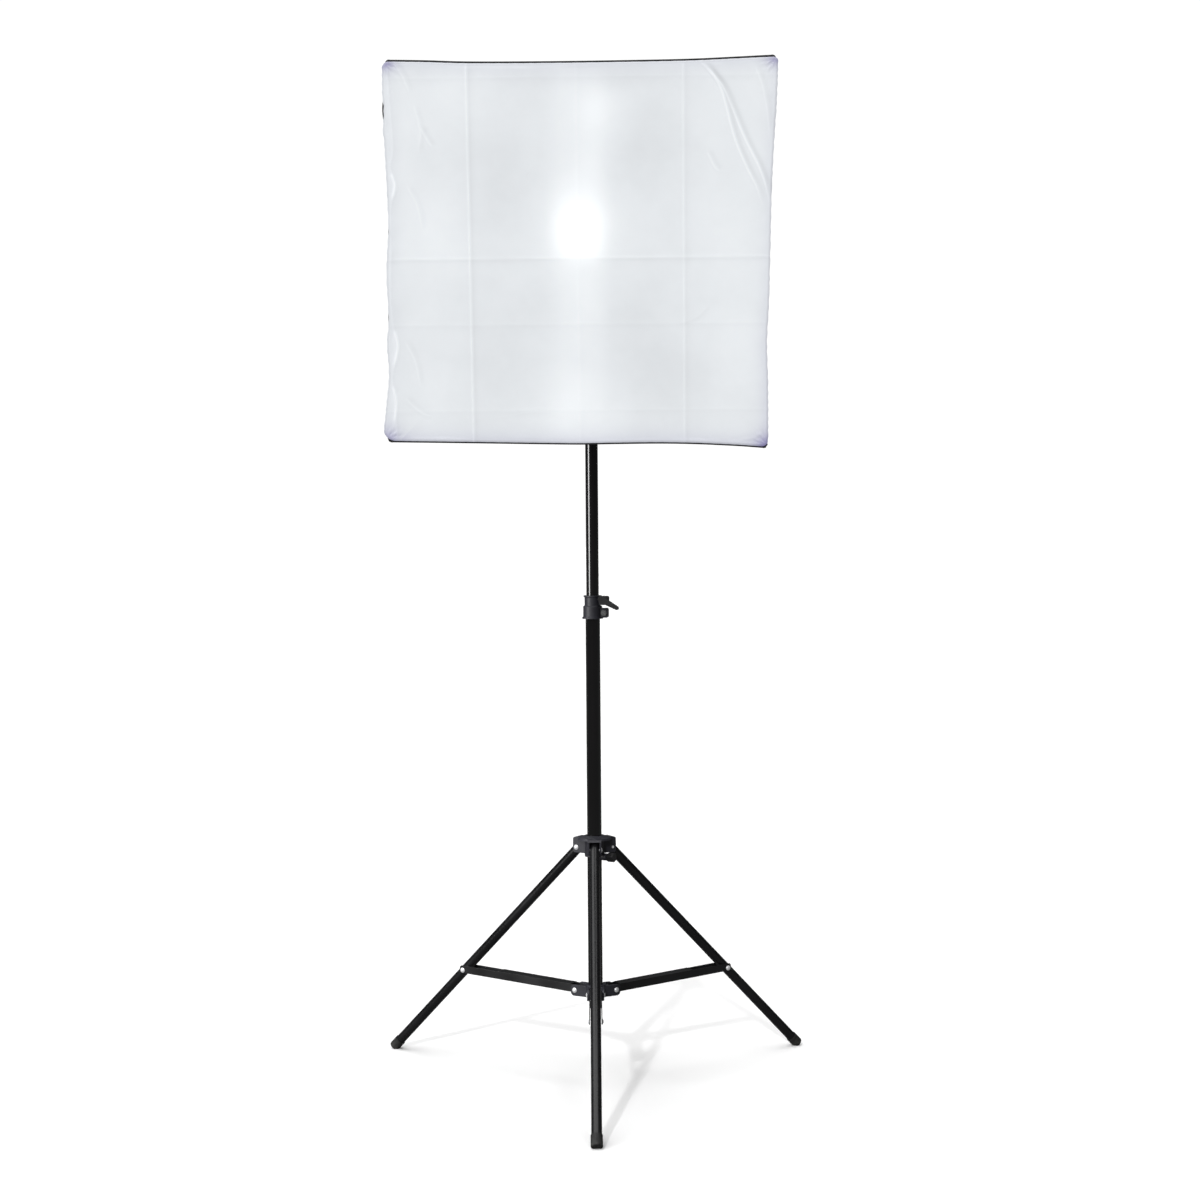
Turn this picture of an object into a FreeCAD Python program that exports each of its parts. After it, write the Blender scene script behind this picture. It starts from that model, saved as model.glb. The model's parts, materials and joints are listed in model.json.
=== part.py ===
"""A studio softbox on a folding light stand, built as its separate pieces.

Everything is laid out round the mast axis, in millimetres, with +Z up and the
diffuser facing -Y.  place() moves the finished pieces so that the origin is
the middle of the footprint, on the floor.
"""

import FreeCAD, Part
import os
from math import acos, atan2, cos, degrees, hypot, radians, sin, sqrt

from FreeCAD import Placement, Rotation, Vector

# ---------------------------------------------------------------- sizes, mm
MAST_Y = 143.84             # the mast stands this far behind the middle of the footprint
RUNNING = 0.1               # radial clearance of a pin in its hole
SLIDING = 0.3               # gap between sliding or turning curved faces

# telescopic mast
LOWER_R = 11.0
MIDDLE_R = 9.5
TOP_R = 8.0
TUBE_WALL = 1.0
LOWER_TUBE_Z = (121.5, 720.0)
MIDDLE_TUBE_Z = (528.0, 1115.0)
TOP_TUBE_Z = (586.0, 1174.0)
BUSH_LENGTH = 12.0
BUSH_LIP = 3.0

# tripod
AZIMUTHS = {"front": -90.0, "right": 30.0, "left": 150.0}
FOOT_RADIUS = 375.0         # from the mast axis to the end of a leg
FOOT_AXIS_Z = 4.6           # height of the leg's centreline there
COLLAR_PIVOT = (26.6, 354.6)    # radius and height of the leg pivots
HUB_PIVOT = (30.0, 133.7)       # radius and height of the brace pivots
LEG_R = 7.5
LEG_WALL = 0.9
LEG_OVER_PIVOT = 7.0
BRACE_SHARE = 0.6045        # where the brace meets the leg, as a share of its length
FOLDED_LEG_ANGLE = 3.0      # degrees from upright when the stand is folded
FOOT_CAP_R = 8.5
FOOT_CAP_LENGTH = 18.0
FOOT_CAP_END = 3.5

# braces: pressed channels, open downward
SHEET = 1.2
BRACE_INSIDE = 16.6
BRACE_LOW = 4.2             # from the pivot line down to the open edge
BRACE_HIGH = 8.0            # from the pivot line up to the outside of the web
BRACE_END = 5.0
WEB_START = 9.0
WEB_END = 142.0             # the web stops short, so that the leg can swing through

# rivets and bolts
RIVET_R = 2.0
RIVET_HEAD_R = 4.0
RIVET_HEAD = 1.7
SCREW_R = 2.5
TILT_BOLT_R = 3.0
NUT_FLATS = 8.0
NUT_HEIGHT = 4.0
BOLT_HEAD = 3.4
TILT_BOLT_FLATS = 10.0

# leg collar
FORK_GAP = 15.6
FORK_WIDTH = 20.8
FORK_REACH = 32.0
FORK_TOP = 16.0
FORK_ROOF = 12.4
FORK_BOTTOM = 8.0
SLEEVE_R = 15.0
SLEEVE_DROP = 13.0
COLLAR_KNOB_AZIMUTH = -30.0
COLLAR_KNOB_DROP = 13.0
COLLAR_KNOB_R = 7.0
COLLAR_KNOB_LENGTH = 11.0
COLLAR_KNOB_START = 24.0    # from the mast axis
COLLAR_SCREW_END = 31.0
COLLAR_BOSS_R = 5.5
COLLAR_BOSS_END = 22.0

# spreader hub
EAR_GAP = 19.6
EAR_WIDTH = 26.0
EAR_REACH = 36.5
EAR_HALF_HEIGHT = 8.5
HUB_CORE_R = 16.0
HUB_STUB_R = 12.4
HUB_BOTTOM = 119.0

# tube clamps
CLAMP_AZIMUTH = -8.0
LOWER_CLAMP_Z = 704.9
UPPER_CLAMP_Z = 1099.9
CLAMP_LOW_HEIGHT = 19.4
CLAMP_HIGH_HEIGHT = 15.8
CLAMP_SEAT = 15.1           # how far the fixed tube goes in
CLAMP_LIP = 1.4
EAR_HALF_THICKNESS = 6.5
CLAMP_SPLIT = 1.6
LEVER_PLANE = (17.6, 23.6)  # the lever's arm, in front of the rings
LEVER_HUB_R = 6.4
LEVER_REACH = 27.0
LEVER_DROOP = 29.0          # degrees below level
LEVER_BELOW_TOP = 6.5       # the lever's screw, below the clamp's upper edge

# head, on the stand
SPIGOT_R = 7.7
SPIGOT_LENGTH = 32.0
THUMB_SCREW_RISE = 16.0     # above the adapter's lower end
ADAPTER_R = 13.5
ADAPTER_Z = (1176.0, 1214.0)
TILT_PIVOT_Z = 1229.0
TILT_EAR_HALF = 4.0
TILT_CHEEK = 4.0
TILT_RADIUS = 12.0
TILT_KNOB_R = 13.0
TILT_KNOB_LENGTH = 14.0
HEAD_YAW = -1.7             # degrees; the head looks a little to the left
HEAD_TILT = 8.0             # degrees; the head looks a little down

# lamp holder, in the head's own frame: its origin is the tilt pivot,
# forward is -Y, and the lamp axis is this far above the pivot
AXIS_HEIGHT = 42.0
HOLDER_R = 28.0
HOLDER_WALL = 2.5
HOLDER_REAR = -48.0
HOLDER_JOINT = -2.0
HOLDER_FRONT = 48.0
SOCKET_R = 21.0
CAP_R = 13.2                # screw cap of the lamp
LAMP_BODY_R = 33.0
LAMP_DOME_R = 38.0

# softbox
FACE_FORWARD = 440.0        # from the tilt pivot to the diffuser
CORNERS = {                 # the diffuser's corners, right and up from the lamp axis
    "top_right": (256.0, 250.5),
    "top_left": (-250.0, 250.5),
    "bottom_left": (-260.0, -245.5),
    "bottom_right": (246.5, -256.0),
}
ROD_R = 2.0
ROD_START = (38.0, 44.0)    # distance from the lamp axis, and forward of the pivot
ROD_TIP_FORWARD = 424.0
ROD_BOW = 12.0
ROD_INSET = 7.4             # rod centre to the outside corner of the shell
ROD_TIP_R = 2.8
ROD_TIP_LENGTH = 8.0
ROD_SOCKET_R = 4.5
ROD_SOCKET_LENGTH = 22.0
CLOTH = 1.6
PANEL_REAR = 68.0
PANEL_FRONT = 434.0
PANEL_STATIONS = 7
RIM = 4.0
RIM_OUTSIDE = 2.5           # how far the bound edge reaches past the corners' diagonal, and inside it
RIM_INSIDE = 2.9
DIFFUSER_INSET = 3.2
TAPE_WIDTH = 20.0
TAPE_THICKNESS = 1.4
POCKET_SIDE = 26.0          # the corner patches, and where the tape stops short of them
POCKET_THICKNESS = 1.5
GATHER_REAR = (22.0, 33.0)      # rear edge of the cloth: forward, half-diagonal
GATHER_MIDDLE = (31.0, 48.5)

X, Y, Z = Vector(1, 0, 0), Vector(0, 1, 0), Vector(0, 0, 1)
ORIGIN = Vector(0, 0, 0)

# ---------------------------------------------------------------- the fold, worked out
LEG_RUN = FOOT_RADIUS - COLLAR_PIVOT[0]
LEG_DROP = COLLAR_PIVOT[1] - FOOT_AXIS_Z
LEG_LENGTH = hypot(LEG_RUN, LEG_DROP)
LEG_ANGLE = degrees(atan2(LEG_RUN, LEG_DROP))
UPPER_LEG = BRACE_SHARE * LEG_LENGTH
KNEE = (COLLAR_PIVOT[0] + UPPER_LEG * sin(radians(LEG_ANGLE)),
        COLLAR_PIVOT[1] - UPPER_LEG * cos(radians(LEG_ANGLE)))
BRACE_LENGTH = hypot(KNEE[0] - HUB_PIVOT[0], KNEE[1] - HUB_PIVOT[1])
BRACE_RISE = degrees(atan2(KNEE[1] - HUB_PIVOT[1], KNEE[0] - HUB_PIVOT[0]))
FOLDED_KNEE_R = COLLAR_PIVOT[0] + UPPER_LEG * sin(radians(FOLDED_LEG_ANGLE))
FOLDED_BRACE_RISE = degrees(acos((FOLDED_KNEE_R - HUB_PIVOT[0]) / BRACE_LENGTH))
COLLAR_TRAVEL = (HUB_PIVOT[1] + BRACE_LENGTH * sin(radians(FOLDED_BRACE_RISE))
                 + UPPER_LEG * cos(radians(FOLDED_LEG_ANGLE)) - COLLAR_PIVOT[1])


# ---------------------------------------------------------------- shape helpers
def cylinder(radius, start, end):
    """A round bar between two points."""
    along = end - start
    return Part.makeCylinder(radius, along.Length, start, along)


def tube(outer, inner, z_low, z_high):
    """An upright tube on the mast axis."""
    bar = cylinder(outer, Z * z_low, Z * z_high)
    return bar.cut(cylinder(inner, Z * (z_low - 1), Z * (z_high + 1)))


def box(x_span, y_span, z_span):
    """A block between the given low and high values."""
    size = [high - low for low, high in (x_span, y_span, z_span)]
    return Part.makeBox(*size, Vector(x_span[0], y_span[0], z_span[0]))


def turned(shape, azimuth):
    """The shape turned about the mast axis."""
    copy = shape.copy()
    copy.rotate(ORIGIN, Z, azimuth)
    return copy


def revolved(profile, axis_start=ORIGIN, axis=Z):
    """A solid of revolution from an outline of (radius, height) points."""
    points = [Vector(radius, 0, height) for radius, height in profile]
    wire = Part.makePolygon(points + points[:1])
    return Part.Face(wire).revolve(axis_start, axis, 360)


def slab(outline, y_low, y_high):
    """An outline of (x, z) points, made solid between two y values."""
    points = [Vector(x, y_low, z) for x, z in outline]
    face = Part.Face(Part.makePolygon(points + points[:1]))
    return face.extrude(Y * (y_high - y_low))


def round_ended(length, low, high, y_low, y_high, radius):
    """A bar along +X from x = 0, with its far corners rounded."""
    bar = box((0, length), (y_low, y_high), (low, high))
    far = [e for e in bar.Edges
           if abs(e.CenterOfMass.x - length) < 1e-6 and abs(e.CenterOfMass.y - (y_low + y_high) / 2) < 1e-6]
    return bar.makeFillet(radius, far)


def rivet(half_length, head_sides=(1, -1)):
    """A rivet along Y with domed heads at the given ends."""
    shank = cylinder(RIVET_R, Y * -half_length, Y * half_length)
    for side in head_sides:
        base = Y * (side * half_length)
        ball_r = (RIVET_HEAD_R ** 2 + RIVET_HEAD ** 2) / (2 * RIVET_HEAD)
        ball = Part.makeSphere(ball_r, base + Y * (side * (RIVET_HEAD - ball_r)))
        slice_of_it = cylinder(RIVET_HEAD_R + 1, base, base + Y * (side * (RIVET_HEAD + 1)))
        shank = shank.fuse(ball.common(slice_of_it))
    return shank.removeSplitter()


def hexagon(across_flats, start, end):
    """A six-sided head or nut between two points."""
    along = end - start
    corner = across_flats / sqrt(3)
    points = [Vector(corner * cos(radians(60 * i)), corner * sin(radians(60 * i)), 0) for i in range(7)]
    solid = Part.Face(Part.makePolygon(points)).extrude(Z * along.Length)
    solid.Placement = Placement(start, Rotation(Z, along))
    return solid


def fluted_knob(radius, length, lobes, start, along):
    """A round knob with scooped flutes, along a direction."""
    knob = Part.makeCylinder(radius, length)
    knob = knob.makeChamfer(0.8, [e for e in knob.Edges if len(e.Vertexes) == 1])
    for i in range(lobes):
        angle = radians(360 * i / lobes)
        middle = Vector(radius * 1.12 * cos(angle), radius * 1.12 * sin(angle), -1)
        knob = knob.cut(Part.makeCylinder(radius * 0.22, length + 2, middle))
    knob.Placement = Placement(start, Rotation(Z, along))
    return knob


def group(*solids):
    return Part.makeCompound(list(solids))


# ---------------------------------------------------------------- mast
def mast_tube(radius, z_span):
    return tube(radius, radius - TUBE_WALL, *z_span)


def tube_bush(radius, outer_radius, z_low):
    """The plastic bush in a sliding tube's lower end."""
    inside = radius - TUBE_WALL
    profile = [(inside - 1.5, -BUSH_LIP), (outer_radius, -BUSH_LIP), (outer_radius, 0),
               (inside, 0), (inside, BUSH_LENGTH), (inside - 1.5, BUSH_LENGTH)]
    return revolved([(r, z_low + z) for r, z in profile])


def spigot():
    """The stud on top of the mast, with its locking groove."""
    top = TOP_TUBE_Z[1]
    stud_end = ADAPTER_Z[0] + SPIGOT_LENGTH
    groove = top + 14
    return revolved([
        (0, top - 20), (TOP_R - TUBE_WALL, top - 20), (TOP_R - TUBE_WALL, top), (TOP_R, top),
        (TOP_R, top + 1.6), (SPIGOT_R, top + 1.6), (SPIGOT_R, groove), (SPIGOT_R - 1.2, groove + 1.2),
        (SPIGOT_R - 1.2, groove + 6), (SPIGOT_R, groove + 7.2), (SPIGOT_R, stud_end - 2),
        (SPIGOT_R - 1.5, stud_end - 0.5), (0, stud_end - 0.5)])


# ---------------------------------------------------------------- tripod
def leg_placement(azimuth):
    """From the leg's own frame, pivot at the origin and foot along +Z, to its place."""
    slope = Rotation(Y, 180 - LEG_ANGLE)
    pivot = Vector(COLLAR_PIVOT[0], 0, COLLAR_PIVOT[1])
    spin = Placement(ORIGIN, Rotation(Z, azimuth))
    return spin.multiply(Placement(pivot, slope))


def leg(azimuth):
    end = LEG_LENGTH - 1.0
    bar = tube(LEG_R, LEG_R - LEG_WALL, -LEG_OVER_PIVOT, end)
    for along, radius in ((0, RIVET_R + RUNNING), (UPPER_LEG, RIVET_R + RUNNING)):
        bar = bar.cut(cylinder(radius, Vector(0, -20, along), Vector(0, 20, along)))
    bar.Placement = leg_placement(azimuth)
    return bar


def foot(azimuth):
    """The rubber cap on a leg, cut level where it meets the floor."""
    end = LEG_LENGTH - 1.0
    cap = cylinder(FOOT_CAP_R, Z * (end - FOOT_CAP_LENGTH + FOOT_CAP_END), Z * (end + FOOT_CAP_END))
    far = [e for e in cap.Edges if e.BoundBox.ZMin > end + FOOT_CAP_END - 0.1]
    cap = cap.makeFillet(2.0, far)
    cap = cap.cut(cylinder(LEG_R, Z * (end - FOOT_CAP_LENGTH), Z * end))
    cap.Placement = leg_placement(azimuth)
    floor = box((-500, 500), (-500, 500), (-50, 0))
    return cap.cut(floor)


def leg_collar():
    """The sliding collar: three forks round a sleeve, and a boss for the lock."""
    pivot_r, pivot_z = COLLAR_PIVOT
    top = pivot_z + FORK_TOP
    body = cylinder(SLEEVE_R, Z * (pivot_z - SLEEVE_DROP), Z * top)
    dome = revolved([
        (0, top - 3), (SLEEVE_R + 11, top - 3), (SLEEVE_R + 9, top),
        (SLEEVE_R, top + 3), (0, top + 3),
    ])
    body = body.fuse(dome)
    for azimuth in AZIMUTHS.values():
        fork = round_ended(FORK_REACH, pivot_z - FORK_BOTTOM, top, -FORK_WIDTH / 2, FORK_WIDTH / 2, 4.0)
        body = body.fuse(turned(fork, azimuth))
    for azimuth in AZIMUTHS.values():
        slot = box((SLEEVE_R + 0.4, 60), (-FORK_GAP / 2, FORK_GAP / 2), (pivot_z - 30, pivot_z + FORK_ROOF))
        hole = cylinder(RIVET_R, Vector(pivot_r, -20, pivot_z), Vector(pivot_r, 20, pivot_z))
        body = body.cut(turned(slot, azimuth)).cut(turned(hole, azimuth))
    height = pivot_z - COLLAR_KNOB_DROP
    boss = cylinder(COLLAR_BOSS_R, Vector(LOWER_R + SLIDING, 0, height), Vector(COLLAR_BOSS_END, 0, height))
    body = body.fuse(turned(boss, COLLAR_KNOB_AZIMUTH))
    screw_hole = cylinder(SCREW_R + RUNNING, Vector(5, 0, height), Vector(30, 0, height))
    body = body.cut(turned(screw_hole, COLLAR_KNOB_AZIMUTH))
    bore = cylinder(LOWER_R + SLIDING, ORIGIN, Z * 1000)
    return body.cut(bore).removeSplitter()


def collar_rivets():
    """Headed on one side and closed flush on the other."""
    pivot_r, pivot_z = COLLAR_PIVOT
    pieces = []
    for azimuth in AZIMUTHS.values():
        pin = rivet(FORK_WIDTH / 2, head_sides=(1,))
        pin.translate(Vector(pivot_r, 0, pivot_z))
        pieces.append(turned(pin, azimuth))
    return group(*pieces)


def collar_screw():
    height = COLLAR_PIVOT[1] - COLLAR_KNOB_DROP
    start = Vector(LOWER_R + SLIDING, 0, height)
    return turned(cylinder(SCREW_R, start, Vector(COLLAR_SCREW_END, 0, height)), COLLAR_KNOB_AZIMUTH)


def collar_knob():
    height = COLLAR_PIVOT[1] - COLLAR_KNOB_DROP
    knob = fluted_knob(COLLAR_KNOB_R, COLLAR_KNOB_LENGTH, 6, Vector(COLLAR_KNOB_START, 0, height), X)
    screw = cylinder(SCREW_R, Vector(COLLAR_BOSS_END, 0, height), Vector(COLLAR_SCREW_END, 0, height))
    knob = knob.cut(screw)
    return turned(knob, COLLAR_KNOB_AZIMUTH)


def spreader_hub():
    """The fixed hub on the mast's lower end, with an ear pair for each brace."""
    pivot_r, pivot_z = HUB_PIVOT
    body = cylinder(HUB_CORE_R, Z * (pivot_z - EAR_HALF_HEIGHT), Z * (pivot_z + EAR_HALF_HEIGHT + 2))
    body = body.fuse(cylinder(HUB_STUB_R, Z * HUB_BOTTOM, Z * pivot_z))
    for azimuth in AZIMUTHS.values():
        ears = round_ended(EAR_REACH, pivot_z - EAR_HALF_HEIGHT, pivot_z + EAR_HALF_HEIGHT,
                           -EAR_WIDTH / 2, EAR_WIDTH / 2, 6.0)
        body = body.fuse(turned(ears, azimuth))
    for azimuth in AZIMUTHS.values():
        slot = box((HUB_CORE_R + 2, 60), (-EAR_GAP / 2, EAR_GAP / 2), (pivot_z - 30, pivot_z + 30))
        hole = cylinder(RIVET_R, Vector(pivot_r, -20, pivot_z), Vector(pivot_r, 20, pivot_z))
        body = body.cut(turned(slot, azimuth)).cut(turned(hole, azimuth))
    seat = cylinder(LOWER_R, Z * LOWER_TUBE_Z[0], Z * 400)
    return body.cut(seat).removeSplitter()


def hub_rivets():
    pieces = []
    for azimuth in AZIMUTHS.values():
        pin = rivet(EAR_WIDTH / 2)
        pin.translate(Vector(HUB_PIVOT[0], 0, HUB_PIVOT[1]))
        pieces.append(turned(pin, azimuth))
    return group(*pieces)


def brace_placement(azimuth):
    """From the brace's own frame, hub pivot at the origin and knee along +X, to its place."""
    pivot = Vector(HUB_PIVOT[0], 0, HUB_PIVOT[1])
    spin = Placement(ORIGIN, Rotation(Z, azimuth))
    return spin.multiply(Placement(pivot, Rotation(Y, -BRACE_RISE)))


def brace(azimuth):
    """A pressed channel whose cheeks run on past the web to take the leg between them."""
    half = BRACE_INSIDE / 2
    length = BRACE_LENGTH + 2 * BRACE_END
    body = None
    for side in (1, -1):
        y_low, y_high = sorted((side * half, side * (half + SHEET)))
        cheek = box((0, length), (y_low, y_high), (-BRACE_LOW, BRACE_HIGH - SHEET / 2))
        ends = [e for e in cheek.Edges if abs(e.CenterOfMass.y - (y_low + y_high) / 2) < 1e-6]
        cheek = cheek.makeFillet(3.5, ends)
        body = cheek if body is None else body.fuse(cheek)
    web = box((WEB_START + BRACE_END, WEB_END + BRACE_END), (-half - SHEET, half + SHEET),
              (BRACE_HIGH - SHEET, BRACE_HIGH))
    body = body.fuse(web)
    body.translate(X * -BRACE_END)
    for x, radius in ((0, RIVET_R + RUNNING), (BRACE_LENGTH, RIVET_R)):
        body = body.cut(cylinder(radius, Vector(x, -20, 0), Vector(x, 20, 0)))
    body = body.removeSplitter()
    body.Placement = brace_placement(azimuth)
    return body


def brace_rivets(azimuth):
    """The knee rivet's two ends, held in the brace's cheeks."""
    half = BRACE_INSIDE / 2
    outside = half + SHEET
    whole = rivet(outside)
    ends = whole.cut(box((-10, 10), (-half, half), (-10, 10)))
    ends.translate(X * BRACE_LENGTH)
    ends.Placement = brace_placement(azimuth).multiply(ends.Placement)
    return group(*ends.Solids)


# ---------------------------------------------------------------- tube clamps
def clamp_body(z, fixed_r, sliding_r):
    """A two-step clamp: its lower ring grips one tube, its upper ring the next."""
    step = z + CLAMP_LOW_HEIGHT
    top = step + CLAMP_HIGH_HEIGHT
    low_r = fixed_r + 3.5
    high_r = sliding_r + 2.8
    body = revolved([
        (0, z), (low_r + CLAMP_LIP, z), (low_r + CLAMP_LIP, z + 2.4), (low_r, z + 3.4), (low_r, step - 1),
        (low_r - 1, step), (high_r, step + 0.6), (high_r, top - 3), (high_r + CLAMP_LIP, top - 2),
        (high_r + CLAMP_LIP, top), (0, top)])
    for reach, low, high in ((low_r + 9.5, z + 1.6, z + 16.0), (high_r + 12.5, step + 1.4, top - 1.0)):
        ear = round_ended(reach, low, high, -EAR_HALF_THICKNESS, EAR_HALF_THICKNESS, 2.5)
        body = body.fuse(ear)
    body = body.cut(box((0, 60), (-CLAMP_SPLIT / 2, CLAMP_SPLIT / 2), (z - 1, top + 1)))
    body = body.cut(cylinder(fixed_r, Z * (z - 1), Z * (z + CLAMP_SEAT)))
    body = body.cut(cylinder(sliding_r + SLIDING, Z * z, Z * (top + 1)))
    for x, height in (bolt_place(z, fixed_r), lever_place(z, sliding_r)):
        body = body.cut(cylinder(SCREW_R, Vector(x, -20, height), Vector(x, 20, height)))
    return turned(body.removeSplitter(), CLAMP_AZIMUTH)


def bolt_place(z, fixed_r):
    return fixed_r + 7.0, z + 8.8


def lever_place(z, sliding_r):
    return sliding_r + 9.2, z + CLAMP_LOW_HEIGHT + CLAMP_HIGH_HEIGHT - LEVER_BELOW_TOP


def clamp_bolt(z, fixed_r):
    """The bolt that fixes the clamp, with its nut."""
    x, height = bolt_place(z, fixed_r)
    face = EAR_HALF_THICKNESS
    middle = Vector(x, 0, height)
    bolt = cylinder(SCREW_R, middle - Y * face, middle + Y * (face + 5))
    head = hexagon(NUT_FLATS, middle - Y * (face + BOLT_HEAD), middle - Y * face)
    return turned(group(bolt.fuse(head).removeSplitter(), ear_nut(middle)), CLAMP_AZIMUTH)


def ear_nut(middle):
    """A nut against the back of a clamp's ears."""
    face = EAR_HALF_THICKNESS
    nut = hexagon(NUT_FLATS, middle + Y * face, middle + Y * (face + NUT_HEIGHT))
    return nut.cut(cylinder(SCREW_R, middle, middle + Y * 30))


def clamp_screw(z, sliding_r):
    """The lever's screw, which runs through both ears into its nut."""
    x, height = lever_place(z, sliding_r)
    middle = Vector(x, 0, height)
    screw = cylinder(SCREW_R - RUNNING, middle - Y * 20, middle + Y * (EAR_HALF_THICKNESS + 6))
    return turned(screw, CLAMP_AZIMUTH)


def clamp_nut(z, sliding_r):
    x, height = lever_place(z, sliding_r)
    return turned(ear_nut(Vector(x, 0, height)), CLAMP_AZIMUTH)


def clamp_lever(z, sliding_r):
    """A plastic lever knob: a round hub, and one drooping, tapered arm."""
    x, height = lever_place(z, sliding_r)
    middle = Vector(x, 0, height)
    near, far = LEVER_PLANE
    hub = cylinder(LEVER_HUB_R, middle - Y * far, middle - Y * (EAR_HALF_THICKNESS + 0.4))
    lower_edge = [(-8.0, -2.6), (0, -4.8), (LEVER_REACH - 2, -2.8), (LEVER_REACH, -1.2)]
    upper_edge = [(along, -across) for along, across in reversed(lower_edge)]
    arm = slab(lower_edge + upper_edge, -far, -near)
    arm.rotate(ORIGIN, Y, LEVER_DROOP)
    arm.translate(middle)
    lever = hub.fuse(arm)
    lever = lever.cut(cylinder(SCREW_R - RUNNING, middle - Y * 20, middle))
    return turned(lever.removeSplitter(), CLAMP_AZIMUTH)


# ---------------------------------------------------------------- head: swivel and tilt
def head_swivel_placement():
    return Placement(ORIGIN, Rotation(Z, HEAD_YAW))


def head_placement():
    """From the head's frame to its place: tilted about the pivot, then swivelled."""
    tilt = Placement(Z * TILT_PIVOT_Z, Rotation(X, HEAD_TILT))
    return head_swivel_placement().multiply(tilt)


def in_head(shape):
    copy = shape.copy()
    copy.Placement = head_placement().multiply(copy.Placement)
    return copy


def swivelled(shape):
    copy = shape.copy()
    copy.Placement = head_swivel_placement().multiply(copy.Placement)
    return copy


def stand_adapter():
    """The socket that drops over the spigot, with the ear that the head tilts on."""
    low, high = ADAPTER_Z
    body = cylinder(ADAPTER_R, Z * low, Z * high)
    edges = [e for e in body.Edges if abs(e.CenterOfMass.z - high) < 1e-6]
    body = body.makeFillet(3.0, edges)
    ear = box((-TILT_EAR_HALF, TILT_EAR_HALF), (-TILT_RADIUS, TILT_RADIUS), (high - 6, TILT_PIVOT_Z))
    pivot = Z * TILT_PIVOT_Z
    ear = ear.fuse(cylinder(TILT_RADIUS, pivot - X * TILT_EAR_HALF, pivot + X * TILT_EAR_HALF))
    boss_z = low + THUMB_SCREW_RISE
    boss = cylinder(7.0, Vector(-ADAPTER_R - 4, 0, boss_z), Vector(0, 0, boss_z))
    body = body.fuse(ear).fuse(boss)
    body = body.cut(cylinder(SPIGOT_R + SLIDING, Z * (low - 1), Z * (low + SPIGOT_LENGTH)))
    body = body.cut(cylinder(TOP_R + SLIDING, Z * (low - 1), Z * (low + 0.3)))
    body = body.cut(cylinder(TILT_BOLT_R + RUNNING, Vector(-30, 0, boss_z), Vector(0, 0, boss_z)))
    body = body.cut(cylinder(TILT_BOLT_R, pivot - X * 20, pivot + X * 20))
    return swivelled(body.removeSplitter())


def adapter_thumb_screw():
    """Locks the adapter on the spigot."""
    height = ADAPTER_Z[0] + THUMB_SCREW_RISE
    start = Vector(-SPIGOT_R - SLIDING, 0, height)
    screw = cylinder(TILT_BOLT_R, start, Vector(-22, 0, height))
    wing = cylinder(6.0, Vector(-18.2, 0, height), Vector(-26, 0, height))
    for side in (1, -1):
        paddle = box((-31, -20), (-2.0, 2.0), (2.5, 13.0))
        paddle = paddle.makeFillet(1.5, [e for e in paddle.Edges if abs(e.CenterOfMass.z - 13.0) < 1e-6])
        if side < 0:
            paddle.rotate(ORIGIN, X, 180)
        paddle.translate(Z * height)
        wing = wing.fuse(paddle)
    return swivelled(screw.fuse(wing).removeSplitter())


def tilt_bolt():
    pivot = Z * TILT_PIVOT_Z
    outside = TILT_EAR_HALF + SLIDING + TILT_CHEEK + 0.3
    bolt = cylinder(TILT_BOLT_R, pivot - X * outside, pivot + X * (outside + 12))
    bolt = bolt.fuse(hexagon(TILT_BOLT_FLATS, pivot - X * (outside + 4.0), pivot - X * outside))
    return swivelled(bolt.removeSplitter())


def tilt_knob():
    pivot = Z * TILT_PIVOT_Z
    start = TILT_EAR_HALF + SLIDING + TILT_CHEEK + 0.5
    knob = fluted_knob(TILT_KNOB_R, TILT_KNOB_LENGTH, 7, pivot + X * start, X)
    neck = cylinder(8.0, pivot + X * (start + 13), pivot + X * (start + 17))
    knob = knob.fuse(neck)
    knob = knob.cut(cylinder(TILT_BOLT_R + RUNNING, pivot, pivot + X * (start + 13)))
    return swivelled(knob.removeSplitter())


def tilt_bracket():
    """The fork under the lamp holder."""
    inside = TILT_EAR_HALF + SLIDING
    outside = inside + TILT_CHEEK
    body = None
    for side in (1, -1):
        x_low, x_high = sorted((side * inside, side * outside))
        cheek = cylinder(TILT_RADIUS, X * x_low, X * x_high)
        cheek = cheek.fuse(box((x_low, x_high), (-TILT_RADIUS, TILT_RADIUS), (0, 24)))
        body = cheek if body is None else body.fuse(cheek)
    body = body.fuse(box((-outside, outside), (-TILT_RADIUS - 6, TILT_RADIUS + 6), (13.0, 24)))
    holder = cylinder(HOLDER_R, lamp_point(0, -80), lamp_point(0, 80))
    body = body.cut(holder)
    body = body.cut(cylinder(TILT_BOLT_R + RUNNING, X * -20, X * 20))
    return in_head(body.removeSplitter())


# ---------------------------------------------------------------- lamp holder, on the lamp axis
def lamp_point(radius, forward, angle=0.0):
    """A point round the lamp axis, in the head's frame."""
    return Vector(radius * cos(radians(angle)), -forward, AXIS_HEIGHT + radius * sin(radians(angle)))


def round_lamp(profile):
    """A piece turned about the lamp axis from (radius, forward) points."""
    solid = revolved(profile)
    solid.Placement = Placement(Vector(0, 0, AXIS_HEIGHT), Rotation(X, 90))
    return solid


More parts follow.
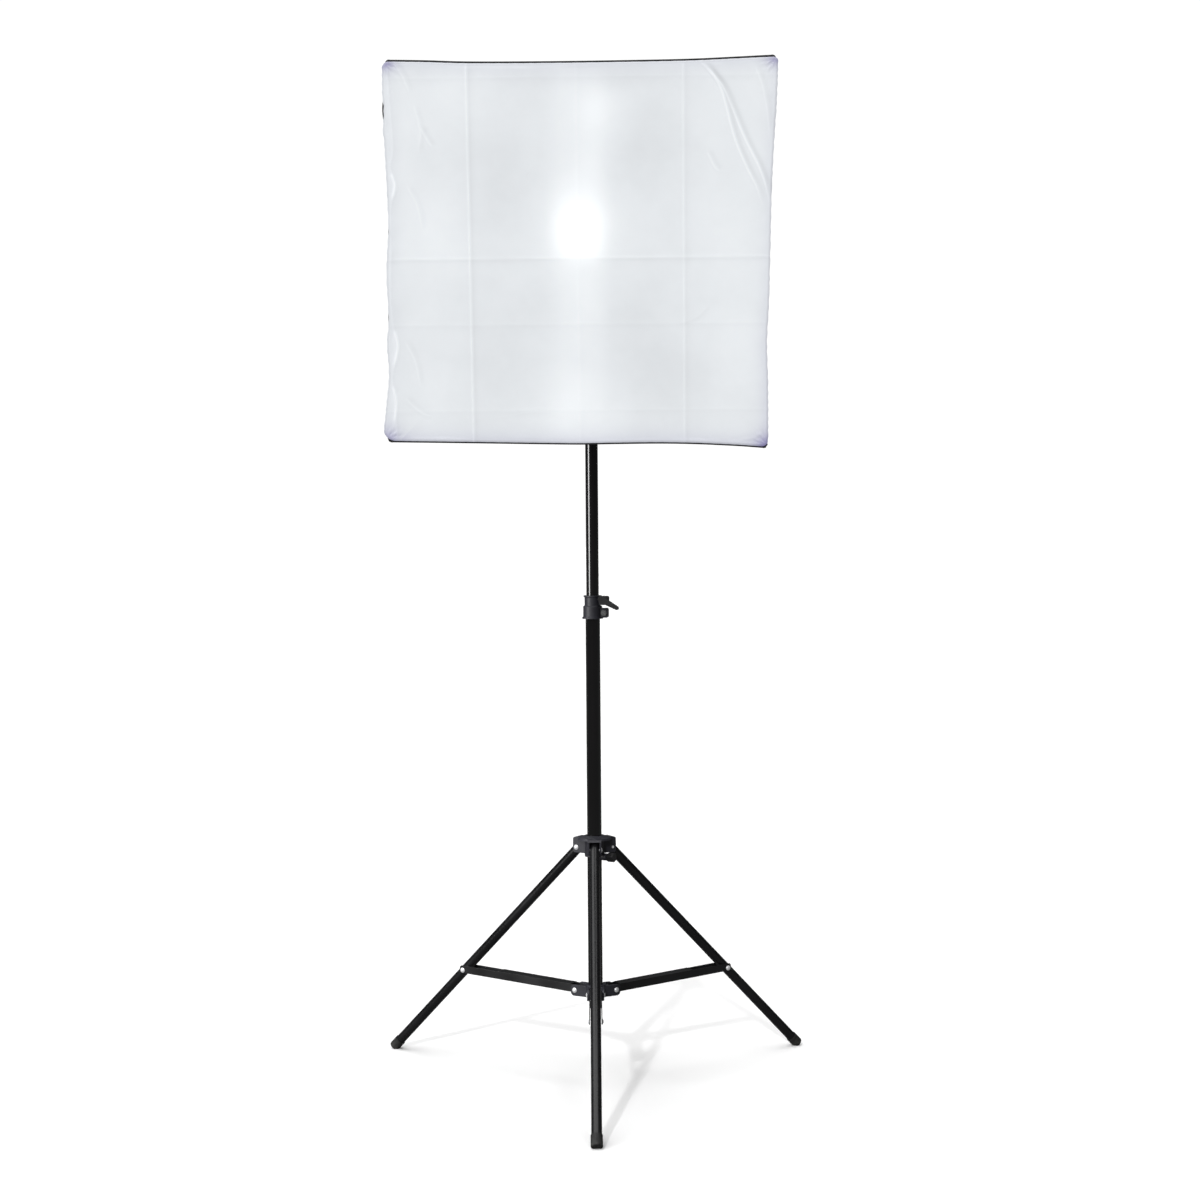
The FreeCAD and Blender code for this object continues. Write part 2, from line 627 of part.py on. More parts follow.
def lamp_rear_shell():
    inner = HOLDER_R - HOLDER_WALL
    shell = round_lamp([
        (0, HOLDER_REAR), (HOLDER_R - 7, HOLDER_REAR), (HOLDER_R - 2, HOLDER_REAR + 2.5),
        (HOLDER_R, HOLDER_REAR + 8),
        (HOLDER_R, HOLDER_JOINT), (inner, HOLDER_JOINT), (inner, HOLDER_REAR + 8.5),
        (inner - 5, HOLDER_REAR + HOLDER_WALL), (0, HOLDER_REAR + HOLDER_WALL)])
    hole = cylinder(6.0, lamp_point(0, HOLDER_REAR - 5), lamp_point(0, HOLDER_REAR + 5))
    hole.translate(Z * -10)
    return in_head(shell.cut(hole))


def lamp_front_shell():
    inner = HOLDER_R - HOLDER_WALL
    shell = round_lamp([
        (inner, HOLDER_JOINT), (HOLDER_R, HOLDER_JOINT),
        (HOLDER_R, HOLDER_FRONT - 1), (HOLDER_R - 1, HOLDER_FRONT),
        (inner, HOLDER_FRONT)])
    return in_head(shell)


def cable_gland():
    """The cord's way in, at the back of the holder."""
    gland = round_lamp([
        (3.2, HOLDER_REAR - 12), (5.0, HOLDER_REAR - 12), (6.0, HOLDER_REAR - 6), (8.6, HOLDER_REAR - 5),
        (8.6, HOLDER_REAR), (6.0, HOLDER_REAR), (6.0, HOLDER_REAR + 6), (3.2, HOLDER_REAR + 6)])
    gland.translate(Z * -10)
    return in_head(gland)


def lamp_socket():
    """The ceramic socket, fixed inside the front shell."""
    inner = HOLDER_R - HOLDER_WALL
    return in_head(round_lamp([
        (0, 5), (SOCKET_R, 5), (SOCKET_R, 14), (inner, 14), (inner, 20), (SOCKET_R, 20), (SOCKET_R, 45),
        (CAP_R + 1.0, 45), (CAP_R + 1.0, 13), (0, 13)]))


def socket_thread():
    return in_head(round_lamp([
        (CAP_R + 0.1, 17), (CAP_R + 1.0, 17), (CAP_R + 1.0, 43), (CAP_R + 0.1, 43)]))


def socket_contact():
    tongue = round_lamp([(0, 13), (4.0, 13), (4.0, 14.2), (1.6, 15.8), (0, 15.8)])
    return in_head(tongue)


def lamp_cap():
    """The lamp's screw cap, with its centre contact."""
    return in_head(round_lamp([
        (0, 15.8), (4.6, 15.8), (5.2, 18.0), (CAP_R - 0.6, 21), (CAP_R, 22), (CAP_R, 46), (0, 46)]))


def lamp_body():
    """The lamp's driver housing, flaring to the dome."""
    profile = [(0, 46), (CAP_R + 1.5, 46), (CAP_R + 3.0, 50), (19.0, 62), (27.0, 84),
               (LAMP_BODY_R, 104), (LAMP_BODY_R, 110), (0, 110)]
    return in_head(round_lamp(profile))


def lamp_dome():
    """The opal dome, a hollow shell."""
    outer = [(LAMP_BODY_R, 110)]
    inner = [(LAMP_BODY_R - 1.5, 110)]
    middle, steps = 134.0, 14
    for i in range(steps + 1):
        angle = radians(-35 + 125 * i / steps)
        outer.append((LAMP_DOME_R * cos(angle), middle + LAMP_DOME_R * sin(angle)))
        inner.append(((LAMP_DOME_R - 1.5) * cos(angle), middle + (LAMP_DOME_R - 1.5) * sin(angle)))
    outer[-1] = (0, outer[-1][1])
    inner[-1] = (0, inner[-1][1])
    return in_head(round_lamp(outer + inner[::-1]))


# ---------------------------------------------------------------- softbox, in the head's frame
def corner_point(name, inset=0.0, forward=FACE_FORWARD):
    """A corner of the face, moved in towards the lamp axis along the diagonal."""
    x, z = CORNERS[name]
    size = hypot(x, z)
    share = (size - inset) / size
    return Vector(x * share, -forward, AXIS_HEIGHT + z * share)


def rod_arc(name):
    """The rod's bowed centreline, from its socket to its tip near the corner."""
    x, z = CORNERS[name]
    out = Vector(x, 0, z).normalize()
    start = Vector(0, -ROD_START[1], AXIS_HEIGHT) + out * ROD_START[0]
    end = corner_point(name, ROD_INSET, ROD_TIP_FORWARD)
    chord = end - start
    sideways = out - chord * (out.dot(chord) / chord.dot(chord))
    middle = (start + end) * 0.5 + sideways.normalize() * ROD_BOW
    return Part.Arc(start, middle, end)


def rod_point(name, forward):
    """Where a rod crosses a plane across the lamp axis; past its tip it runs on straight."""
    arc = rod_arc(name)
    edge = arc.toShape()
    low, high = edge.ParameterRange
    end = edge.valueAt(high)
    if -end.y < forward:
        along = edge.tangentAt(high)
        return end + along * ((forward + end.y) / -along.y)
    for _ in range(50):
        middle = (low + high) / 2
        if -edge.valueAt(middle).y < forward:
            low = middle
        else:
            high = middle
    return edge.valueAt(low)


def spring_rods():
    pieces = []
    for name in CORNERS:
        edge = rod_arc(name).toShape()
        start, along = edge.valueAt(edge.ParameterRange[0]), edge.tangentAt(edge.ParameterRange[0])
        section = Part.Wire(Part.makeCircle(ROD_R, start, along))
        pieces.append(Part.Wire(edge).makePipeShell([section], True, False))
    return in_head(group(*pieces))


def rod_tips():
    """The moulded cap on the end of each rod."""
    pieces = []
    for name in CORNERS:
        edge = rod_arc(name).toShape()
        end, along = edge.valueAt(edge.ParameterRange[1]), edge.tangentAt(edge.ParameterRange[1])
        pieces.append(cylinder(ROD_TIP_R, end, end + along * ROD_TIP_LENGTH))
    return in_head(group(*pieces))


def rod_holder():
    """The plastic ring on the lamp holder, with a socket for each rod."""
    ring = round_lamp([(HOLDER_R, 32), (36, 32), (40, 35), (40, 46), (38, 48), (HOLDER_R, 48)])
    holes = []
    for name in CORNERS:
        edge = rod_arc(name).toShape()
        start, along = edge.valueAt(edge.ParameterRange[0]), edge.tangentAt(edge.ParameterRange[0])
        ring = ring.fuse(cylinder(ROD_SOCKET_R, start - along * 5, start + along * (ROD_SOCKET_LENGTH - 5)))
        section = Part.Wire(Part.makeCircle(ROD_R, start, along))
        holes.append(Part.Wire(edge).makePipeShell([section], True, False))
    for hole in holes:
        ring = ring.cut(hole)
    shell = cylinder(HOLDER_R, lamp_point(0, 0), lamp_point(0, 60))
    return in_head(ring.cut(shell).removeSplitter())


def shell_corner(name, forward, inset):
    """The shell's edge beside a rod, moved in along the diagonal."""
    x, z = CORNERS[name]
    out = Vector(x, 0, z).normalize()
    return rod_point(name, forward) + out * (ROD_INSET - inset)


def panel(first, second):
    """One cloth side of the softbox, bowed with its two rods."""
    mitre = CLOTH * sqrt(2)
    sections = []
    for i in range(PANEL_STATIONS):
        forward = PANEL_REAR + (PANEL_FRONT - PANEL_REAR) * i / (PANEL_STATIONS - 1)
        points = [shell_corner(first, forward, 0.1), shell_corner(second, forward, 0.1),
                  shell_corner(second, forward, mitre), shell_corner(first, forward, mitre)]
        sections.append(Part.makePolygon(points + points[:1]))
    return in_head(Part.makeLoft(sections, True, True))


def rim_piping():
    """The black bound edge round the mouth of the shell, as four mitred lengths."""
    forward = PANEL_FRONT + 0.2
    bars = []
    for first, second in neighbours():
        points = [corner_point(first, -RIM_OUTSIDE, forward), corner_point(second, -RIM_OUTSIDE, forward),
                  corner_point(second, RIM_INSIDE, forward), corner_point(first, RIM_INSIDE, forward)]
        bars.append(Part.Face(Part.makePolygon(points + points[:1])).extrude(Y * -RIM))
    return in_head(group(*bars))


def front_diffuser():
    """The white cloth across the mouth, inside the bound edge."""
    points = [corner_point(name, DIFFUSER_INSET) for name in CORNERS]
    return in_head(Part.Face(Part.makePolygon(points + points[:1])).extrude(Y * CLOTH))


def strips_inside(names, low, high, depth):
    """A thin strip along one panel's inside, near the mouth."""
    first, second = names
    sections = []
    for forward in (low, high):
        ends = []
        for a, b in ((first, second), (second, first)):
            for inset in (2 * CLOTH, 2 * CLOTH + depth):
                here, there = shell_corner(a, forward, inset), shell_corner(b, forward, inset)
                ends.append(here + (there - here).normalize() * POCKET_SIDE)
        points = [ends[0], ends[2], ends[3], ends[1]]
        sections.append(Part.makePolygon(points + points[:1]))
    return Part.makeLoft(sections, True, True)


def neighbours():
    names = list(CORNERS)
    return [(names[i], names[(i + 1) % 4]) for i in range(4)]


def hook_loop_tape():
    """The fastening tape that holds the diffuser, on the inside of each panel."""
    strips = [
        strips_inside(pair, PANEL_FRONT - TAPE_WIDTH - 4, PANEL_FRONT - 4, TAPE_THICKNESS)
        for pair in neighbours()
    ]
    return in_head(group(*strips))


def corner_pockets():
    """The stitched patches that the rod tips push into."""
    pieces = []
    for name in CORNERS:
        x, z = CORNERS[name]
        tip = corner_point(name, 4.5, PANEL_FRONT + 0.1)
        across = X * (-POCKET_SIDE if x > 0 else POCKET_SIDE)
        down = Z * (-POCKET_SIDE if z > 0 else POCKET_SIDE)
        triangle = Part.Face(Part.makePolygon([tip, tip + across, tip + down, tip]))
        pieces.append(triangle.extrude(Y * POCKET_THICKNESS))
    return in_head(group(*pieces))


def gather_section(forward, half_diagonal):
    """An eight-pointed ring of points round the lamp axis."""
    points = []
    for first, second in neighbours():
        corner = [Vector(CORNERS[name][0], 0, CORNERS[name][1]).normalize() for name in (first, second)]
        for out in (corner[0], (corner[0] + corner[1]).normalize()):
            points.append(Vector(0, -forward, AXIS_HEIGHT) + out * half_diagonal)
    return Part.makePolygon(points + points[:1])


def shell_section(forward, inset):
    """The shell's four corners and the middles of its sides."""
    points = []
    for first, second in neighbours():
        here = shell_corner(first, forward, inset)
        points += [here, (here + shell_corner(second, forward, inset)) * 0.5]
    return Part.makePolygon(points + points[:1])


def rear_sleeve():
    """The gathered cloth that closes the shell round the lamp holder."""
    front = PANEL_REAR - 0.2
    thick = CLOTH * sqrt(2)
    stations = (GATHER_REAR, GATHER_MIDDLE)
    outside = [gather_section(*station) for station in stations] + [shell_section(front, 0.1)]
    inside = [gather_section(forward, size - thick) for forward, size in stations]
    inside.append(shell_section(front, thick))
    return in_head(Part.makeLoft(outside, True, True).cut(Part.makeLoft(inside, True, True)))


# ---------------------------------------------------------------- all the pieces
def build():
    """Every piece by its node name, about the mast axis."""
    nodes = {
        "lower_tube": mast_tube(LOWER_R, LOWER_TUBE_Z),
        "spreader_hub": spreader_hub(),
        "hub_rivets": hub_rivets(),
        "leg_collar": leg_collar(),
        "collar_rivets": collar_rivets(),
        "collar_screw": collar_screw(),
        "collar_knob": collar_knob(),
        "middle_tube": mast_tube(MIDDLE_R, MIDDLE_TUBE_Z),
        "middle_tube_bush": tube_bush(MIDDLE_R, LOWER_R - TUBE_WALL - SLIDING, MIDDLE_TUBE_Z[0]),
        "top_tube": mast_tube(TOP_R, TOP_TUBE_Z),
        "top_tube_bush": tube_bush(TOP_R, MIDDLE_R - TUBE_WALL - SLIDING, TOP_TUBE_Z[0]),
        "spigot": spigot(),
        "stand_adapter": stand_adapter(),
        "adapter_thumb_screw": adapter_thumb_screw(),
        "tilt_bolt": tilt_bolt(),
        "tilt_knob": tilt_knob(),
        "tilt_bracket": tilt_bracket(),
        "lamp_rear_shell": lamp_rear_shell(),
        "lamp_front_shell": lamp_front_shell(),
        "cable_gland": cable_gland(),
        "lamp_socket": lamp_socket(),
        "socket_thread": socket_thread(),
        "socket_contact": socket_contact(),
        "lamp_cap": lamp_cap(),
        "lamp_body": lamp_body(),
        "lamp_dome": lamp_dome(),
        "rod_holder": rod_holder(),
        "spring_rods": spring_rods(),
        "rod_tips": rod_tips(),
        "rear_sleeve": rear_sleeve(),
        "rim_piping": rim_piping(),
        "front_diffuser": front_diffuser(),
        "hook_loop_tape": hook_loop_tape(),
        "corner_pockets": corner_pockets(),
    }
    for side, azimuth in AZIMUTHS.items():
        nodes["leg_" + side] = leg(azimuth)
        nodes["foot_" + side] = foot(azimuth)
        nodes["brace_" + side] = brace(azimuth)
        nodes["brace_rivets_" + side] = brace_rivets(azimuth)
    for name, z, fixed_r, sliding_r in (("lower", LOWER_CLAMP_Z, LOWER_R, MIDDLE_R),
                                        ("upper", UPPER_CLAMP_Z, MIDDLE_R, TOP_R)):
        nodes[name + "_clamp_body"] = clamp_body(z, fixed_r, sliding_r)
        nodes[name + "_clamp_bolt"] = clamp_bolt(z, fixed_r)
        nodes[name + "_clamp_nut"] = clamp_nut(z, sliding_r)
        nodes[name + "_clamp_screw"] = clamp_screw(z, sliding_r)
        nodes[name + "_clamp_lever"] = clamp_lever(z, sliding_r)
    for panel_name, pair in zip(("top", "left", "bottom", "right"), neighbours()):
        nodes["panel_" + panel_name] = panel(*pair)
    return nodes


def place(shape):
    """The piece in the part's own frame."""
    copy = shape.copy()
    copy.translate(Y * MAST_Y)
    return copy


def main():
    os.makedirs("parts", exist_ok=True)
    for name, shape in build().items():
        place(shape).exportStep("parts/" + name + ".step")


if __name__ == "__main__":
    main()
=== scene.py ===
"""Looks for a studio softbox on a folding light stand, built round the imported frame.

Lengths are in metres.  The head's own frame has its origin on the lamp axis
above the tilt pivot: x to the right, f forward towards the diffuser, h up.
"""

import json
from math import cos, pi, radians, sin, tau

import bmesh
import bpy
import numpy as np
from mathutils import Matrix, Vector, noise


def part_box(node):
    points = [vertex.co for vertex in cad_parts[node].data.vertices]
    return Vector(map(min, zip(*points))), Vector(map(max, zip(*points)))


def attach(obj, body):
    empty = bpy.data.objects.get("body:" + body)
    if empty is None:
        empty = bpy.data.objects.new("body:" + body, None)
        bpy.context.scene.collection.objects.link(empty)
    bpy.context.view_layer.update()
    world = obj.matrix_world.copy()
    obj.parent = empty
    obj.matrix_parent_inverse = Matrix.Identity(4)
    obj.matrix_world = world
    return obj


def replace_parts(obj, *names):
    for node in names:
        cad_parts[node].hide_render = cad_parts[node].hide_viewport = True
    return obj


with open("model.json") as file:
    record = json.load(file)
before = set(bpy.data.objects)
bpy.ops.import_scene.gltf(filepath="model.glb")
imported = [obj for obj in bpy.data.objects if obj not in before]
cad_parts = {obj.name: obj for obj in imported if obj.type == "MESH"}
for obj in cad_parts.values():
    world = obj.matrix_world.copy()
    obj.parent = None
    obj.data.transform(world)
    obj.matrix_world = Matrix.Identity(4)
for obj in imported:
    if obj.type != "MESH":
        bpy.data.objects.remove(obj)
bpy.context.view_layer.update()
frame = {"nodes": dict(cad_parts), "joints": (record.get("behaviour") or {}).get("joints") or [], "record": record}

MM = 0.001

# ---------------------------------------------------------------- where things are
joints = {joint["name"]: joint for joint in frame["joints"]}
low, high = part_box("lower_tube")
MAST = Vector(((low.x + high.x) / 2, (low.y + high.y) / 2, 0))


def points_of(node):
    mesh = frame["nodes"][node].data
    points = np.empty(len(mesh.vertices) * 3, np.float32)
    mesh.vertices.foreach_get("co", points)
    return points.reshape(-1, 3).astype(float)


def largest_face_normal(node):
    mesh = frame["nodes"][node].data
    return max(mesh.polygons, key=lambda face: face.area).normal.copy()


PIVOT = np.array(joints["head_tilt"]["pos_m"])
RIGHT = np.array(joints["head_tilt"]["axis"])
FORWARD = np.array(largest_face_normal("front_diffuser"))
FORWARD = FORWARD if FORWARD[1] < 0 else -FORWARD
FORWARD = FORWARD - RIGHT * FORWARD.dot(RIGHT)
FORWARD /= np.linalg.norm(FORWARD)
UP = np.cross(RIGHT, -FORWARD)


def to_head(points):
    """World points as columns x, f, h, measured from the tilt pivot."""
    offset = points - PIVOT
    return np.stack([offset @ RIGHT, offset @ FORWARD, offset @ UP], axis=-1)


holder = to_head(points_of("lamp_front_shell"))
AXIS_HEIGHT = (holder[:, 2].min() + holder[:, 2].max()) / 2


def at(x, f, h):
    """World points of head-frame arrays, with h measured from the lamp axis."""
    x, f, h = np.broadcast_arrays(x, f, h)
    return PIVOT + x[..., None] * RIGHT + f[..., None] * FORWARD + (h + AXIS_HEIGHT)[..., None] * UP


CORNER_SIGNS = {"top_right": (1, 1), "top_left": (-1, 1), "bottom_left": (-1, -1), "bottom_right": (1, -1)}
CORNER_NAMES = list(CORNER_SIGNS)
PANELS = ("top", "left", "bottom", "right")     # each runs from its corner to the next one


def outermost(points, signs):
    """The point that lies furthest towards a corner."""
    return points[np.argmax(points[:, 0] * signs[0] + points[:, 2] * signs[1])]


def head_points(node):
    """A node's points as x, f, h with h measured from the lamp axis."""
    points = to_head(points_of(node))
    points[:, 2] -= AXIS_HEIGHT
    return points


def rod_tracks():
    """Where each rod runs, as smooth curves of the distance forward."""
    points = head_points("spring_rods")
    tracks = {}
    for name, (right, upward) in CORNER_SIGNS.items():
        own = points[(points[:, 0] * right > 0) & (points[:, 2] * upward > 0)]
        tracks[name] = (np.polyfit(own[:, 1], own[:, 0], 3), np.polyfit(own[:, 1], own[:, 2], 3))
    return tracks


RIM_OVERHANG = 1.8 * MM         # how far the rim's outside lies beyond the mouth's nominal outline
TRACKS = rod_tracks()
panel = head_points("panel_top")
SHELL_REAR, SHELL_MOUTH = panel[:, 1].min(), panel[:, 1].max()
FACE_FORWARD = head_points("front_diffuser")[:, 1].max()
rim = head_points("rim_piping")
MOUTH = {name: outermost(rim, signs)[[0, 2]] - RIM_OVERHANG * np.array(signs)
         for name, signs in CORNER_SIGNS.items()}

# ---------------------------------------------------------------- material helpers


class Shader:
    """A small wrapper round a material's node tree."""

    def __init__(self, name):
        self.material = bpy.data.materials.new(name)
        self.material.use_nodes = True
        self.tree = self.material.node_tree
        self.main = self.tree.nodes["Principled BSDF"]
        self.coordinates = self.node("ShaderNodeTexCoord").outputs["Object"]

    def node(self, kind, **settings):
        made = self.tree.nodes.new(kind)
        for key, value in settings.items():
            setattr(made, key, value)
        return made

    def put(self, value, socket):
        """Gives a socket a colour, a number or another node's output."""
        if isinstance(value, tuple):
            socket.default_value = (*value, 1)
        elif isinstance(value, (int, float)):
            socket.default_value = value
        else:
            self.tree.links.new(value, socket)

    def set(self, **values):
        names = {"ior_level": "Specular IOR Level", "coat": "Coat Weight",
                 "coat_roughness": "Coat Roughness", "sheen": "Sheen Weight",
                 "sheen_roughness": "Sheen Roughness", "metallic": "Metallic",
                 "emission": "Emission Strength"}
        for key, value in values.items():
            self.main.inputs[names[key]].default_value = value
        return self

    def noise(self, scale, detail=3.0, stretch=None, distortion=0.0, source=None):
        made = self.node("ShaderNodeTexNoise")
        made.inputs["Scale"].default_value = scale
        made.inputs["Detail"].default_value = detail
        made.inputs["Distortion"].default_value = distortion
        source = source or self.coordinates
        if stretch:
            mapping = self.node("ShaderNodeMapping")
            mapping.inputs["Scale"].default_value = stretch
            self.put(source, mapping.inputs["Vector"])
            source = mapping.outputs["Vector"]
        self.put(source, made.inputs["Vector"])
        return made.outputs["Fac"]

    def math(self, operation, first, second=None, clamp=False):
        made = self.node("ShaderNodeMath", operation=operation, use_clamp=clamp)
        for socket, value in zip(made.inputs, (first, second)):
            if value is not None:
                self.put(value, socket)
        return made.outputs[0]

    def spread(self, source, low, high, from_low=0.3, from_high=0.7):
        """The source's middle range mapped to low..high."""
        made = self.node("ShaderNodeMapRange")
        limits = {"From Min": from_low, "From Max": from_high, "To Min": low, "To Max": high}
        for key, value in limits.items():
            made.inputs[key].default_value = value
        self.put(source, made.inputs["Value"])
        return made.outputs["Result"]

    def mix(self, factor, first, second):
        made = self.node("ShaderNodeMix", data_type="RGBA")
        for index, value in ((0, factor), (6, first), (7, second)):
            self.put(value, made.inputs[index])
        return made.outputs[2]

    def patchy(self, patches, dark, light):
        """Colour that changes slowly between two shades."""
        self.colour(self.mix(self.spread(patches, 0, 1), dark, light))

    def speckled(self, scale, dark, light, rough, relief, detail=3.0):
        """Two close shades, an uneven polish and a fine relief; rough and relief start with a scale."""
        self.patchy(self.noise(scale, detail), dark, light)
        rough_scale, smoothest, roughest = rough
        self.roughness(self.spread(self.noise(rough_scale), smoothest, roughest))
        relief_scale, strength, distance = relief
        return self.bump((self.noise(relief_scale), strength, distance)).material

    def colour(self, value):
        self.put(value, self.main.inputs["Base Color"])

    def roughness(self, value):
        self.put(value, self.main.inputs["Roughness"])

    def bump(self, *layers, rounding=None):
        """Stacked (height, strength, distance) layers over softened edges."""
        normal = None
        if rounding:
            bevel = self.node("ShaderNodeBevel", samples=4)
            bevel.inputs["Radius"].default_value = rounding
            normal = bevel.outputs["Normal"]
        for height, strength, distance in layers:
            made = self.node("ShaderNodeBump")
            made.inputs["Strength"].default_value = strength
            made.inputs["Distance"].default_value = distance
            self.put(height, made.inputs["Height"])
            if normal:
                self.put(normal, made.inputs["Normal"])
            normal = made.outputs["Normal"]
        self.put(normal, self.main.inputs["Normal"])
        return self

    def edges(self, radius, low=0.02, high=0.25):
        """How near a convex or concave edge is, from 0 to 1."""
        bevel = self.node("ShaderNodeBevel", samples=6)
        bevel.inputs["Radius"].default_value = radius
        geometry = self.node("ShaderNodeNewGeometry")
        dot = self.node("ShaderNodeVectorMath", operation="DOT_PRODUCT")
        self.put(bevel.outputs["Normal"], dot.inputs[0])
        self.put(geometry.outputs["Normal"], dot.inputs[1])
        bend = self.math("SUBTRACT", 1.0, dot.outputs["Value"])
        return self.spread(bend, 0.0, 1.0, low, high)

    def uv(self, name="cloth"):
        return self.node("ShaderNodeUVMap", uv_map=name).outputs["UV"]

    def waves(self, source, pitch, direction):
        """Even ridges across a direction, pitch metres apart."""
        made = self.node("ShaderNodeTexWave", wave_type="BANDS", bands_direction=direction)
        made.inputs["Scale"].default_value = tau / (20 * pitch)
        self.put(source, made.inputs["Vector"])
        return made.outputs["Fac"]


# ---------------------------------------------------------------- materials
def black_gloss_paint():
    """Powder-like gloss black on the mast tubes, with faint sliding marks."""
    s = Shader("black_gloss_paint").set(ior_level=0.40, coat=0.2, coat_roughness=0.06)
    patches = s.noise(9, 4)
    streaks = s.noise(160, 2, stretch=(1, 1, 0.02))
    s.patchy(patches, (0.0020, 0.0018, 0.0020), (0.0050, 0.0045, 0.0050))
    s.roughness(s.math("ADD", s.spread(patches, 0.14, 0.20), s.spread(streaks, 0.0, 0.05)))
    return s.bump((s.noise(900, 2), 0.005, 0.0002), (streaks, 0.01, 0.0001)).material


def black_satin_paint():
    s = Shader("black_satin_paint").set(ior_level=0.40)
    patches = s.noise(14, 4)
    s.patchy(patches, (0.0030, 0.0030, 0.0035), (0.0070, 0.0070, 0.0080))
    s.roughness(s.math("ADD", s.spread(patches, 0.20, 0.28), s.spread(s.noise(220, 2), 0.0, 0.06)))
    return s.bump((s.noise(1100, 3), 0.006, 0.0002)).material


def black_sheet_paint():
    """Painted pressed steel with paler edges: partly rubbed paint, partly a painted edge highlight."""
    s = Shader("black_sheet_paint").set(ior_level=0.45)
    patches = s.noise(20, 4)
    edge_patches = s.spread(s.noise(130, 4), 0, 0.7, 0.5, 0.75)
    # Paler paint near the edges, in patches: partly rubbed wear and partly a painted highlight.
    edge_wear_and_highlight = s.math("MULTIPLY", s.edges(0.0006), edge_patches, clamp=True)
    paint = s.mix(s.spread(patches, 0, 1), (0.0035, 0.0035, 0.004), (0.008, 0.008, 0.009))
    s.colour(s.mix(edge_wear_and_highlight, paint, (0.11, 0.11, 0.115)))
    s.roughness(s.spread(patches, 0.30, 0.42))
    return s.bump((s.noise(1000, 3), 0.04, 0.0002), rounding=0.0004).material


def zinc_plate(name, shade, rough):
    s = Shader(name).set(metallic=0.35, ior_level=0.8)
    patches = s.noise(400, 4)
    s.patchy(patches, tuple(shade * k for k in (0.9, 0.91, 0.94)), (shade,) * 3)
    s.roughness(s.spread(s.noise(900, 3), rough - 0.06, rough + 0.10))
    return s.bump((patches, 0.10, 0.0001), rounding=0.0003).material


def moulded_plastic(name, dark, light, rough):
    """Black moulded plastic with a fine spark-eroded texture and paler edges, partly rubbed and partly a painted
    edge highlight.
    """
    s = Shader(name).set(ior_level=0.45)
    patches = s.noise(35, 4)
    base = s.mix(s.spread(patches, 0, 1), dark, light)
    # Paler edges, in patches: partly rubbed plastic and partly a painted highlight.
    rubbed_edges_and_highlight = s.math("MULTIPLY", s.edges(0.0007), s.spread(s.noise(240, 3), 0.1, 0.9), clamp=True)
    s.colour(s.mix(rubbed_edges_and_highlight, base, tuple(3.0 * value for value in light)))
    s.roughness(s.math("ADD", s.spread(patches, rough, rough + 0.08), s.spread(s.noise(500, 3), 0, 0.06)))
    return s.bump((s.noise(2600, 3), 0.22, 0.00025), rounding=0.0005).material


def smooth_nylon():
    s = Shader("smooth_nylon").set(ior_level=0.5)
    return s.speckled(60, (0.020, 0.020, 0.022), (0.035, 0.035, 0.037),
                      (300, 0.28, 0.40), (1200, 0.08, 0.0002))


def foot_rubber():
    """Black rubber, dusty towards the floor."""
    s = Shader("foot_rubber").set(ior_level=0.35)
    height = s.node("ShaderNodeSeparateXYZ")
    s.put(s.coordinates, height.inputs[0])
    near_floor = s.spread(height.outputs["Z"], 0.8, 0.0, 0.0, 0.016)
    dust = s.math("MULTIPLY", near_floor, s.spread(s.noise(260, 5), 0, 1))
    s.colour(s.mix(dust, (0.010, 0.010, 0.010), (0.075, 0.072, 0.068)))
    s.roughness(s.spread(s.noise(180, 4), 0.62, 0.82))
    return s.bump((s.noise(1500, 4), 0.25, 0.0003), rounding=0.0006).material


def bright_nickel():
    s = Shader("bright_nickel").set(metallic=1.0)
    rings = s.noise(500, 2, stretch=(0.05, 0.05, 6))
    s.patchy(rings, (0.66, 0.65, 0.63), (0.80, 0.79, 0.77))
    s.roughness(s.spread(rings, 0.12, 0.26))
    return s.bump((rings, 0.08, 0.0001), rounding=0.0003).material


def glazed_ceramic():
    s = Shader("glazed_ceramic").set(coat=0.6, coat_roughness=0.05)
    return s.speckled(40, (0.74, 0.72, 0.67), (0.83, 0.81, 0.77),
                      (120, 0.20, 0.34), (90, 0.08, 0.0004), detail=5)


def plain_metal(name, dark, light, rough):
    s = Shader(name).set(metallic=1.0)
    patches = s.noise(120, 4)
    s.patchy(patches, dark, light)
    s.roughness(s.spread(patches, rough, rough + 0.15))
    return s.bump((s.noise(700), 0.08, 0.0001)).material


def lamp_housing():
    s = Shader("lamp_housing").set(ior_level=0.5)
    return s.speckled(50, (0.78, 0.78, 0.77), (0.86, 0.86, 0.85),
                      (200, 0.22, 0.34), (800, 0.05, 0.0002))


def opal_glow():
    """The lit lamp dome."""
    s = Shader("opal_glow").set(emission=6.0)
    s.main.inputs["Emission Color"].default_value = (1.0, 0.97, 0.93, 1)
    return s.speckled(50, (0.88, 0.87, 0.84), (0.94, 0.93, 0.91),
                      (150, 0.38, 0.5), (900, 0.04, 0.0002))


def weave(s, pitch):
    """Over-and-under threads from two crossed sets of ridges."""
    across = s.waves(s.uv(), pitch, "X")
    along = s.waves(s.uv(), pitch, "Y")
    return s.math("MULTIPLY", across, along)


def black_nylon():
    """Coated black nylon: fine weave, a soft sheen, and faint crush marks."""
    s = Shader("black_nylon").set(ior_level=0.42, sheen=0.35, sheen_roughness=0.45)
    s.main.inputs["Sheen Tint"].default_value = (0.75, 0.78, 0.85, 1)
    patches = s.noise(7, 5)
    crush = s.noise(38, 6, distortion=0.6)
    s.patchy(patches, (0.009, 0.009, 0.010), (0.019, 0.019, 0.021))
    s.roughness(s.math("ADD", s.spread(patches, 0.42, 0.52), s.spread(crush, 0.0, 0.10)))
    return s.bump((weave(s, 0.0011), 0.30, 0.00025), (crush, 0.22, 0.0012)).material


